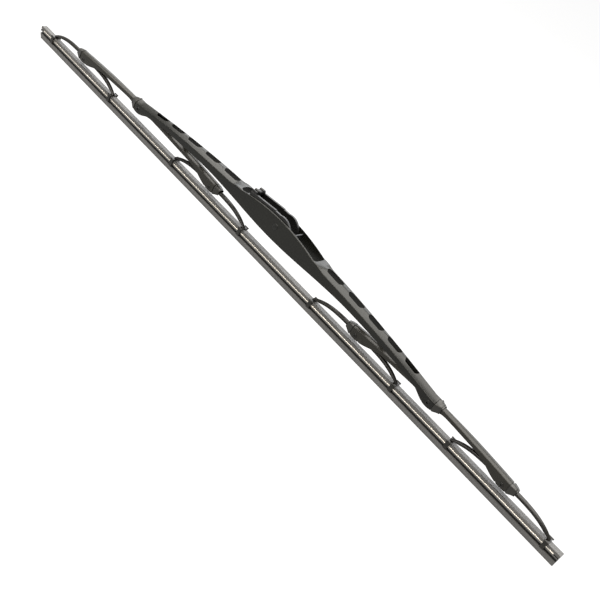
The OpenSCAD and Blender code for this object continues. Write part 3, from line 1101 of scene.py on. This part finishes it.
@dataclass
class Yoke:
    """A claw yoke: a thin arched channel with a claw at each end."""

    name: str
    body: str
    x: float
    span: float = 93.6
    past: float = 1.0
    width: float = 4.2
    tip_width: float = 3.4
    sheet: float = 0.7
    top: float = 22.7
    power: float = 3.9
    reach: float = 1.7
    depth: float = 2.8
    tip_depth: float = 1.5
    bend: float = 40.0
    pivot_height: float = 19.4
    hub: float = 2.4
    hub_reach: float = 13.0
    fold: float = 1.3
    crown: float = 0.35
    pitch: float = 1.3
    edge: float = 0.12

    # Claws, hooked under the head and into the neck's groove
    claw_length: float = 3.2
    claw_sheet: float = 0.8
    claw_inside: float = 3.45
    claw_top: float = 12.65
    neck_low: float = 5.8
    neck_high: float = 7.9
    neck_half: float = 0.7
    gap: float = 0.25
    ear: float = 0.65
    ear_in: float = 0.3
    ear_drop: float = 0.2
    ear_proud: float = 0.5

    def line(self, d: float) -> float:
        """Height of the top at distance d from the pivot."""
        share = min(abs(d) / (self.span / 2 + self.reach), 1) ** self.power
        return mix(self.top, self.claw_top + self.tip_depth, share)

    def low(self, d: float) -> float:
        """Height of the walls' lower edge.

        Args:
            d: Distance from the pivot.

        Returns:
            The height.
        """
        thin = ease((abs(d) - self.bend) / (self.span / 2 - self.bend))
        base = self.line(d) - mix(self.depth, self.tip_depth, thin)
        return mix(base, self.pivot_height - self.hub, hump(d, self.hub_reach))

    def section(self, d: float) -> Section:
        """The channel's section.

        Args:
            d: Distance from the pivot, below 0 to the left.

        Returns:
            The section.
        """
        half = mix(self.width, self.tip_width, ease((abs(d) - self.hub_reach) / self.bend)) / 2
        top = self.line(d)
        return Section(self.x + d, top, self.low(d), half, half - self.sheet, top - self.sheet, self.fold, self.crown)

    def claw(self, x: float) -> list[bpy.types.Object]:
        """One claw, hooked under the squeegee's head.

        Args:
            x: The middle of the claw.

        Returns:
            The bent strip and its two ears.
        """
        outside = self.claw_inside + self.claw_sheet
        top = self.claw_top + self.claw_sheet
        low, tip_top = self.neck_low + self.gap, self.neck_high - self.gap
        tip = self.neck_half + 2 * self.gap
        half = [(0.0, top), (outside - 0.9, top), (outside - 0.3, top - 0.15), (outside, top - 0.7),
                (outside, low + 0.6), (outside - 0.2, low + 0.15), (outside - 0.6, low), (tip, low),
                (tip, tip_top), (self.claw_inside, tip_top), (self.claw_inside, self.claw_top), (0.0, self.claw_top)]
        outline = half + [(-y, z) for y, z in half[-2:0:-1]]
        reach = self.claw_length / 2
        parts = [prism("claw", outline, x - reach, x + reach, "X")]
        reach += self.ear_proud
        for side in (-1, 1):
            ring = circle(side * (outside - self.ear_in), top - self.ear_drop, self.ear, 24)
            parts.append(prism("ear", ring, x - reach, x + reach, "X"))
        return parts

    def build(self, kit: Piece) -> None:
        """Builds and dresses the yoke.

        Args:
            kit: What takes the finished pieces.
        """
        end = self.span / 2 + self.past
        sections = [self.section(d) for d in spread(-end, end, self.pitch)]
        parts = [sheet_channel(f"{self.name}_arch", sections, folds=5, rows=2)]
        for side in (-1, 1):
            parts += self.claw(self.x + side * self.span / 2)
        kit.hand_over(soften(join(parts), self.edge), "yoke_paint", self.body, self.name)


@dataclass
class Cap:
    """A plastic cap: a nose on the channel's end with a seam, a latch on it and two liners inside.

    The nose runs from mouth, the channel's last section, to tip, its half width, top and foot. What
    turns inside it has the half width inside. The rings run on to overrun, and the last one goes back to
    nose, so the surface folds back on itself over that length.
    """

    name: str
    body: str
    x: float
    side: Side
    pivot: float
    mouth: Section
    tip: tuple[float, float, float]
    inside: float
    channel_past: float = 4.6
    edge: float = 0.1

    # Nose
    nose: float = 6.0
    overrun: float = 6.7
    wall: float = 0.45
    seam: float = 0.75
    seam_depth: float = 0.6
    seam_edge: float = 0.05
    taper_from: float = 1.0
    taper_straight: float = 0.35
    tip_fold: float = 1.2
    tip_crown: float = 0.5
    chamfer: float = 0.35
    chamfer_run: float = 0.8

    # Liners and latch
    liner: float = 2.2
    liner_past: float = 0.2
    latch_from: float = 1.5
    latch_length: float = 2.1
    latch_depth: float = 1.4
    latch_sides: tuple[float, float] = (0.55, 2.1)

    def section(self, d: float, inset: float) -> Section:
        """The nose's section.

        Args:
            d: Distance past the channel's end.
            inset: Depth of the seam there.

        Returns:
            The section.
        """
        run = (d - self.taper_from) / (self.nose - self.taper_from)
        t = mix(ease(run), max(0.0, run), self.taper_straight)
        mouth = self.mouth
        half, top, low = (mix(a, b, t) for a, b in zip((mouth.half, mouth.top, mouth.low), self.tip))
        inset += self.chamfer * ease((d - self.nose + self.chamfer_run) / self.chamfer_run)
        return Section(self.x + self.side.value * (self.channel_past + d), top - inset, low, half - inset,
                       self.inside, self.tip[1] - self.wall, mix(mouth.radius, self.tip_fold, t),
                       mix(mouth.crown, self.tip_crown * mouth.crown, t))

    def build(self, kit: Piece) -> None:
        """Builds and dresses the cap.

        Args:
            kit: What takes the finished pieces.
        """
        steps = [(0.0, self.seam_depth), (self.seam, self.seam_depth), (self.seam + self.seam_edge, 0.0)]
        steps += [(d, 0.0) for d in (*spread(self.taper_from + 0.2, self.overrun, 0.56), self.nose)]
        sections = [self.section(d, inset) for d, inset in steps]
        if self.side is Side.LEFT:
            sections.reverse()
        parts = [sheet_channel(f"{self.name}_moulding", sections, folds=6)]
        way = self.side.value
        end = self.x + way * (self.channel_past + self.liner_past)
        liner = arc(self.x, self.pivot, self.liner, 90, 90 + 180 * way, 16)
        liner += [(end, self.pivot - self.liner), (end, self.pivot + self.liner)]
        for y in (-1, 1):
            parts.append(prism("liner", liner, *sorted((y * self.inside, y * self.mouth.inner_half))))
        x = self.x + way * (self.channel_past + self.latch_from)
        run = way * self.latch_length
        top = mix(self.mouth.top, self.tip[1], 0.05)
        latch = [(x, top - self.latch_depth), (x, top - 0.25), (x + run * 0.35, top - 0.2),
                 (x + run, top - self.latch_depth)]
        parts.append(prism("latch", latch, *self.latch_sides))
        kit.hand_over(soften(join(parts), self.edge), "cap_plastic", self.body, self.name)


@dataclass
class Rivets:
    """The rivets and the arm pin: a turned half, set twice, back to back, for each."""

    head: float = 0.45
    facets: int = 40

    def __post_init__(self) -> None:
        """Makes the tree that sets a half and its turned copy back to back."""
        self.recipe = g = Recipe("rivet_pair", "Along", "Height")
        spot = g.add("ShaderNodeCombineXYZ", {0: g["Along"], 2: g["Height"]})
        points = g.add("GeometryNodePoints", {"Count": 2, "Position": spot})
        turn = g.add("ShaderNodeCombineXYZ", {2: g.add("GeometryNodeInputIndex") * math.pi})
        both = g.add("GeometryNodeInstanceOnPoints", {"Points": points, "Instance": g["Geometry"], "Rotation": turn})
        real = g.add("GeometryNodeRealizeInstances", {"Geometry": both})
        g.close(g.add("GeometryNodeMergeByDistance", {"Geometry": real, "Distance": WELD}))

    def turned(self, name: str, x: float, z: float, radius: float, width: float, lip: float,
               recess: float = 0.7) -> bpy.types.Object:
        """A rivet across the blade.

        Args:
            name: The object's name.
            x: Its place along the blade.
            z: Its height above the lip.
            radius: Radius of the shank.
            width: Width over the sheet that it holds.
            lip: How far the head stands past the shank.
            recess: Depth of the recess in the head.

        Returns:
            The object.
        """
        half, big, n = width / 2, radius + lip, self.facets
        face = half + self.head
        profile = [(radius, 0.0), (radius, half), (big, half), (big, half + 0.05), (big - 0.12, half + self.head * 0.5),
                   (big - 0.35, half + self.head * 0.9), (big - 0.7, face), (big * 0.50, face),
                   (big * 0.42, face - recess)]
        points = [(px, y, pz) for r, y in profile for px, pz in circle(0.0, PIN_HEIGHT, r, n)]
        points.append((0.0, face - 1.05 * recess, PIN_HEIGHT))
        faces = [(i * n + k, i * n + (k + 1) % n, (i + 1) * n + (k + 1) % n, (i + 1) * n + k)
                 for i in range(len(profile) - 1) for k in range(n)]
        last = (len(profile) - 1) * n
        faces += [(last + k, last + (k + 1) % n, last + n) for k in range(n)]
        made = new_object(name, points, faces)
        self.recipe.run(made, {"Along": x * MM, "Height": (z - PIN_HEIGHT) * MM})
        rework(made, face_outwards)
        shade(made, 48)
        return made


@dataclass
class ArmAdapter:
    """The hook adapter between the cheeks."""

    width: float = 12.3
    wall: float = 2.0
    inset: float = 0.4
    edge: float = 0.28

    # Side walls, with a rail on each and a round nose
    left: float = 36.5
    right: float = 18.5
    rail_left: float = 47.4
    rail_right: float = 50.5
    rail_end: float = -8.0
    rail_step: float = 0.5
    nose_radius: float = 12.0
    nose_x: float = 2.5
    nose_drop: float = 11.6

    # Inside
    barrel: float = 3.7
    barrel_inset: float = 0.2
    seat: float = 44.2
    bar: float = 0.95
    bar_rise: float = 4.8

    # Thumb tab
    rib: float = 1.1
    rib_rise: float = 2.2
    rib_place: float = 3.0

    def side_outline(self) -> Profile:
        """Outline of a side wall.

        Returns:
            Its corners.
        """
        z = self.rail_right - self.nose_drop
        return [(-self.left, self.seat - 2.4), (-self.left, self.rail_left), (self.rail_end, self.rail_right),
                (self.rail_end + 0.6, self.rail_right - self.rail_step),
                *arc(self.nose_x, z, self.nose_radius, 110, 14, 24), (self.right, z + 6.7), (self.right, z + 4.5),
                (13.0, z - 1.0), (6.0, PIN_HEIGHT - 5.6), (-6.0, PIN_HEIGHT - 5.6), (-12.0, self.seat - 5.0)]

    def floor_outline(self) -> Profile:
        """Outline of the floor, the seat for the arm's hook and the tongue.

        Returns:
            Its corners.
        """
        s, x = self.seat, -self.left
        return [(x - 3.5, s - 3.4), (x - 3.5, s - 2), (x + 6.4, s), (-3.2, s), (-1.0, PIN_HEIGHT + 3),
                (-1.0, PIN_HEIGHT + 1.5), (-6.0, s - 1.4), (x + 2, s - 1.4)]

    def tab(self) -> list[bpy.types.Object]:
        """The thumb tab with its two ribs.

        Returns:
            The tab and its ribs.
        """
        x, half, z = -self.left, self.width / 2 - self.inset, self.rail_left
        outline = [(x, self.seat - 1), (x, z + 0.6), (x + 0.5, z + 1.6), (x + 1.2, z + 2.2), (x + 4.4, z + 2.4),
                   (x + 5.2, z + 1.8), (x + 5.4, z + 0.4), (x + 5.4, z - 1), (x + 1.6, z - 1.4),
                   (x + 1.6, self.seat - 1)]
        ribs = [prism("rib", circle(y, z + self.rib_rise, self.rib, 24), x + 0.8, x + 5.2, "X")
                for y in (-self.rib_place, self.rib_place)]
        return [prism("tab", outline, -half, half), *ribs]

    def build(self, kit: Piece) -> None:
        """Builds and dresses the adapter.

        Args:
            kit: What takes the finished pieces.
        """
        half = self.width / 2
        inner = half - self.inset
        bar = circle(self.right - self.bar, self.rail_right - self.nose_drop + self.bar_rise + self.bar, self.bar, 18)
        parts = [prism("adapter_moulding", self.side_outline(), half - self.wall, half),
                 prism("wall", self.side_outline(), -half, self.wall - half),
                 prism("floor", self.floor_outline(), -inner, inner), *self.tab(),
                 rod("barrel", 0.0, PIN_HEIGHT, self.barrel, half - self.barrel_inset),
                 prism("bar", bar, -inner, inner)]
        kit.hand_over(soften(join(parts), self.edge, 3), "adapter_plastic", "adapter", "arm_adapter")


@dataclass(frozen=True)
class Stretch:
    """A stretch of the strip that rides on one body, or lies between two."""

    start: float
    end: float
    bodies: tuple[str, ...]


@dataclass
class Strip:
    """The squeegee and its two spring strips, in stretches that ride on the linkage's bodies or lie between two of
    them.

    joints are the places along the blade where the stretches meet, and riders the bodies of each.
    """

    joints: tuple[float, ...] = (-332.9, -215.3, -171.8, -128.3, -28.7, -24.0, 13.75, 51.5, 56.2, 155.8, 181.0,
                                 206.2, 316.8)
    riders: tuple[tuple[str, ...], ...] = (
        ("yoke_lo",), ("yoke_lo", "lever_left"), ("lever_left", "yoke_li"), ("yoke_li",), ("yoke_li", "lever_left"),
        ("lever_left", "bridge"), ("bridge", "lever_right"), ("lever_right", "yoke_ri"), ("yoke_ri",),
        ("yoke_ri", "lever_right"), ("lever_right", "yoke_ro"), ("yoke_ro",))
    pitch: float = 2.4
    sharp: float = 38.0

    # Squeegee
    height: float = 12.4
    head_half: float = 2.9
    lip: float = 0.4
    lip_bar: float = 5.8
    shoulder: float = 2.2
    neck: float = 2.1
    neck_half: float = 0.7

    # Spring strips
    seat: float = 9.2
    thickness: float = 0.8
    flexor_width: float = 2.4
    flexor_round: float = 0.15
    stand_out: float = 0.2
    setback: float = 4.5
    last_claw: float = 303.8
    notch: float = 2.4
    notch_offset: float = 3.8

    def rubber_profile(self) -> Profile:
        """Section of the squeegee, with rounded edges.

        Returns:
            Its corners.
        """
        h, side, bar, neck = self.head_half, self.shoulder, self.lip_bar, self.neck_half
        groove, top, slot_top = bar + self.neck, self.height, self.seat + self.thickness
        slot_in = h + self.stand_out - self.flexor_width
        half = [(self.lip, 0.0), (self.lip + 0.02, 0.5), (self.lip + 0.08, 1.1), (side - 0.12, bar - 1.2),
                (side, bar - 0.9), (side, bar - 0.35), (side - 0.1, bar - 0.1), (side - 0.3, bar), (neck + 0.15, bar),
                (neck, bar + 0.15), (neck, groove - 0.15), (neck + 0.15, groove), (h - 0.25, groove),
                (h - 0.07, groove + 0.07), (h, groove + 0.25), (h, self.seat), (slot_in, self.seat),
                (slot_in, slot_top), (h, slot_top), (h, top - 0.6), (h - 0.15, top - 0.18), (h - 0.55, top),
                (h - 1.5, top), (0.5, top - 0.12)]
        return half + [(-y, z) for y, z in reversed(half)]

    def flexor_profile(self, side: int) -> Profile:
        """Section of a spring strip, with rounded edges.

        Args:
            side: -1 for the near one and 1 for the far one.

        Returns:
            Its corners.
        """
        outer, r = self.head_half + self.stand_out, self.flexor_round
        inner, low, high = outer - self.flexor_width, self.seat, self.seat + self.thickness
        points = [(inner, low), (outer - r, low), (outer - 0.04, low + 0.06), (outer, low + r), (outer, high - r),
                  (outer - 0.04, high - 0.06), (outer - r, high), (inner, high)]
        return [(side * y, z) for y, z in points]

    def sweep_recipe(self) -> Recipe:
        """Makes the tree that sweeps a profile along the blade.

        Returns:
            The tree, with the profile as its geometry and named inputs for start, end and pitch.
        """
        g = Recipe("strip_sweep", "Start", "End", "Pitch")
        start, end = (g.add("ShaderNodeCombineXYZ", {0: g[name]}) for name in ("Start", "End"))
        line = g.add("GeometryNodeCurvePrimitiveLine", {"Start": start, "End": end})
        path = g.add("GeometryNodeResampleCurve", {"Curve": line, "Length": g["Pitch"]}, mode="LENGTH")
        profile = g.add("GeometryNodeMeshToCurve", {"Mesh": g["Geometry"]})
        g.close(g.add("GeometryNodeCurveToMesh", {"Curve": path, "Profile Curve": profile, "Fill Caps": True}))
        return g

    def sweep(self, name: str, profile: Profile, start: float, end: float, recipe: Recipe) -> bpy.types.Object:
        """Sweeps a profile from start to end.

        Args:
            name: The object's name.
            profile: Corners as (y, height above the lip).
            start: Where it starts along the blade.
            end: Where it ends.
            recipe: The sweep.

        Returns:
            The object.
        """
        mesh = bpy.data.meshes.new(name)
        n = len(profile)
        mesh.from_pydata([(y * MM, (z - PIN_HEIGHT) * MM, 0.0) for y, z in profile],
                         [(i, (i + 1) % n) for i in range(n)], [])
        made = link(name, mesh)
        recipe.run(made, {"Start": start * MM, "End": end * MM, "Pitch": self.pitch * MM})
        # The sweep lays the profile upside down, so it is turned over about the blade's length
        made.data.transform(Matrix.Rotation(math.pi, 4, "X"))
        rework(made, weld, face_outwards)
        shade(made, self.sharp)
        return made

    def place(self, kit: Piece, made: bpy.types.Object, slot: str, stretch: Stretch, node: str) -> None:
        """Sets a stretch on its body or between its two bodies.

        Args:
            kit: What takes the finished pieces.
            made: The piece.
            slot: The material slot, a key of FINISHES.
            stretch: The stretch that it fills.
            node: The CAD node that it stands for.
        """
        if len(stretch.bodies) == 1:
            kit.hand_over(made, slot, stretch.bodies[0], node)
        else:
            z = (self.seat - PIN_HEIGHT) * MM
            kit.bend(made, slot, stretch.bodies, ((stretch.start * MM, 0.0, z), (stretch.end * MM, 0.0, z)), node)

    def cut_notches(self, strip: bpy.types.Object, side: int) -> None:
        """Cuts the locking notches beside the last claw.

        Args:
            strip: The stretch of a spring strip that passes the claw.
            side: -1 for the near one and 1 for the far one.
        """
        face = self.head_half
        low, high = sorted((side * face, side * (face + self.stand_out + 1)))
        tools = []
        for x in (self.last_claw - self.notch_offset, self.last_claw + self.notch_offset):
            a, b = x - self.notch / 2, x + self.notch / 2
            outline = [(a, self.seat - 1), (b, self.seat - 1), (b, self.seat + 2), (a, self.seat + 2)]
            tools.append(prism("notch", outline, low, high))
        cut(strip, tools)
        shade(strip, self.sharp)

    def build(self, kit: Piece) -> None:
        """Builds and dresses every stretch of the strip.

        Args:
            kit: What takes the finished pieces.
        """
        recipe = self.sweep_recipe()
        first, last = self.joints[0] + self.setback, self.joints[-1] - self.setback
        for i, (ends, bodies) in enumerate(zip(pairwise(self.joints), self.riders)):
            stretch = Stretch(*ends, bodies)
            made = self.sweep(f"squeegee_{i:02d}", self.rubber_profile(), *ends, recipe)
            self.place(kit, made, "squeegee", stretch, "squeegee_rubber")
            start, end = max(stretch.start, first), min(stretch.end, last)
            for name, side in (("near", -1), ("far", 1)):
                strip = self.sweep(f"flexor_{name}_{i:02d}", self.flexor_profile(side), start, end, recipe)
                if end > self.last_claw:
                    self.cut_notches(strip, side)
                self.place(kit, strip, "spring_steel", stretch, f"flexor_strip_{name}")


# Stage


@dataclass(frozen=True)
class Lamp:
    """A rectangular soft lamp. Its place, its target and its width and height are in metres."""

    name: str
    place: Point
    target: Point
    size: tuple[float, float]
    watts: float
    tint: Point

    def build(self) -> None:
        """Sets the lamp up."""
        data = bpy.data.lights.new(self.name, "AREA")
        data.shape = "RECTANGLE"
        data.size, data.size_y = self.size
        data.energy = self.watts
        data.color = self.tint
        made = link(self.name, data)
        made.location = self.place
        made.rotation_euler = (Vector(self.target) - Vector(self.place)).to_track_quat("-Z", "Y").to_euler()


@dataclass
class Studio:
    """Pale floor, plain soft lamps and the camera, at the photograph's viewing angle.

    right, down and forward are the camera's directions, and place is in millimetres. drop is the
    floor's depth below the lip, past the reach of the strip's ends at every pose.
    """

    lens: float = 56.5493
    place: Point = (338.2, -563.366, 349.89)
    right: Point = (0.64080289, 0.6305893, 0.43786847)
    down: Point = (0.66047654, -0.16209593, -0.73314095)
    forward: Point = (-0.39133414, 0.75900069, -0.52036097)
    glow: float = 0.93
    ambient: float = 0.3
    drop: float = 92.0
    floor_half: float = 6.0
    lamps: tuple[Lamp, ...] = (
        Lamp("rear", (-0.3, 1.3, 0.85), (0.0, 0.0, 0.0), (2.8, 0.8), 33.0, (0.97, 0.98, 1.0)),
        Lamp("overhead", (-0.3, 0.1, 1.5), (-0.3, 0.1, 0.0), (2.6, 1.3), 106.0, (1.0, 0.97, 0.92)),
        Lamp("front", (-0.3, -1.05, 1.0), (0.0, 0.0, 0.0), (1.9, 0.24), 26.0, (1.0, 0.95, 0.88)),
    )

    def camera(self) -> None:
        """Makes the camera at the photograph's viewpoint."""
        data = bpy.data.cameras.new("camera")
        data.lens = self.lens
        data.sensor_width = 36.0
        data.clip_start = 0.01
        made = link("camera", data)
        turn = Matrix((self.right, [-v for v in self.down], [-v for v in self.forward])).transposed()
        made.matrix_world = Matrix.Translation(Vector(self.place) * MM) @ turn.to_4x4()
        bpy.context.scene.camera = made

    def floor(self) -> None:
        """Makes the white floor, which keeps a faint shadow."""
        h, z = self.floor_half, -(PIN_HEIGHT + self.drop) * MM
        mesh = bpy.data.meshes.new("floor")
        mesh.from_pydata([(-h, -h, z), (h, -h, z), (h, h, z), (-h, h, z)], [], [(0, 1, 2, 3)])
        s = Surface("paper")
        matte = s.add("ShaderNodeBsdfDiffuse", {"Color": s.colour((0.80,) * 3, (0.83,) * 3, s.noise(2.0))})
        glow = s.add("ShaderNodeEmission", {"Color": (1.0, 1.0, 1.0, 1.0), "Strength": 1.0})
        both = s.add("ShaderNodeMixShader", {"Fac": s.open_rays() * self.glow, 1: matte, 2: glow})
        s.add("ShaderNodeOutputMaterial", {"Surface": both})
        mesh.materials.append(s.material)
        link("floor", mesh)

    def world(self) -> None:
        """Makes the white surroundings."""
        world = bpy.data.worlds.new("surroundings")
        world.use_nodes = True
        s = Nodes(world.node_tree)
        s.tree.nodes.clear()
        plain, white = (s.add("ShaderNodeBackground", {"Color": (1.0, 1.0, 1.0, 1.0), "Strength": strength})
                        for strength in (self.ambient, 1.0))
        both = s.add("ShaderNodeMixShader", {"Fac": s.open_rays(), 1: plain, 2: white})
        s.add("ShaderNodeOutputWorld", {"Surface": both})
        bpy.context.scene.world = world

    def build(self) -> None:
        """Builds the stage."""
        self.camera()
        self.floor()
        self.world()
        for lamp in self.lamps:
            lamp.build()
        bpy.context.scene.view_settings.view_transform = "Standard"


def build_caps(kit: Piece, bridge: Bridge, levers: list[Lever], yokes: list[Yoke]) -> None:
    """Builds the caps on the bridge's ends and on the levers' ends.

    Args:
        kit: What takes the finished pieces.
        bridge: The bridge.
        levers: The levers from left to right.
        yokes: The yokes from left to right.
    """
    for side, lever in zip(Side, levers):
        inside = lever.waist / 2 + CLEAR
        mouth = bridge.section(lever.x + side.value * bridge.channel_past)
        tip = (inside + 0.6, lever.top + 1.2, lever.pivot_height - 1.4)
        Cap(f"lever_cap_{side.name.lower()}", "bridge", lever.x, side, lever.pivot_height, mouth, tip,
            inside).build(kit)
    for i, yoke in enumerate(yokes):
        side, lever = tuple(Side)[i % 2], levers[i // 2]
        inside = yoke.width / 2 + CLEAR
        arm = lever.left_arm if side is Side.LEFT else lever.right_arm
        mouth = lever.section(side.value * (arm + lever.channel_past))
        tip = (inside + 0.6, yoke.top + 1.8, yoke.pivot_height - 0.6)
        Cap(yoke.name.replace("yoke", "yoke_cap"), lever.body, yoke.x, side, yoke.pivot_height, mouth, tip,
            inside).build(kit)


def build_rivets(kit: Piece, bridge: Bridge, levers: list[Lever], yokes: list[Yoke]) -> None:
    """Builds the rivets and the arm pin.

    Args:
        kit: What takes the finished pieces.
        bridge: The bridge.
        levers: The levers from left to right.
        yokes: The yokes from left to right.
    """
    rivets = Rivets()
    for side, lever in zip(Side, levers):
        node = f"lever_rivet_{side.name.lower()}"
        made = rivets.turned(f"{node}_turned", lever.x, lever.pivot_height, 1.2, bridge.end_width, 0.8)
        kit.hand_over(made, "rivet_paint", "bridge", node)
    for i, yoke in enumerate(yokes):
        node, lever = yoke.name.replace("yoke", "yoke_rivet"), levers[i // 2]
        made = rivets.turned(f"{node}_turned", yoke.x, yoke.pivot_height, 1.0, lever.width, 0.7)
        kit.hand_over(made, "rivet_paint", lever.body, node)
    made = rivets.turned("arm_pin_turned", 0.0, PIN_HEIGHT, 2.0, bridge.width, 0.7, recess=0.0)
    kit.hand_over(made, "rivet_paint", "bridge", "arm_pin")


def build_blade(kit: Piece) -> None:
    """Builds every sub-assembly in order.

    Args:
        kit: What takes the finished pieces.
    """
    bridge = Bridge()
    levers = [Lever("secondary_lever_left", "lever_left", -181.0, 85.1, 103.5),
              Lever("secondary_lever_right", "lever_right", 181.0, 76.0, 76.0)]
    yokes = [Yoke("yoke_left_outer", "yoke_lo", -266.1), Yoke("yoke_left_inner", "yoke_li", -77.5),
             Yoke("yoke_right_inner", "yoke_ri", 105.0), Yoke("yoke_right_outer", "yoke_ro", 257.0)]
    for part in [bridge, *levers, *yokes]:
        part.build(kit)
    build_caps(kit, bridge, levers, yokes)
    build_rivets(kit, bridge, levers, yokes)
    ArmAdapter().build(kit)
    Strip().build(kit)


def main() -> None:
    """Loads the frame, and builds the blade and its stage."""
    logging.basicConfig(level=logging.INFO, format="%(name)s: %(message)s")
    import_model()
    kit = Piece(Finishes())
    build_blade(kit)
    Studio().build()
    LOG.info("%d pieces", kit.count)
    bpy.context.view_layer.update()


if __name__ == "__main__":
    main()
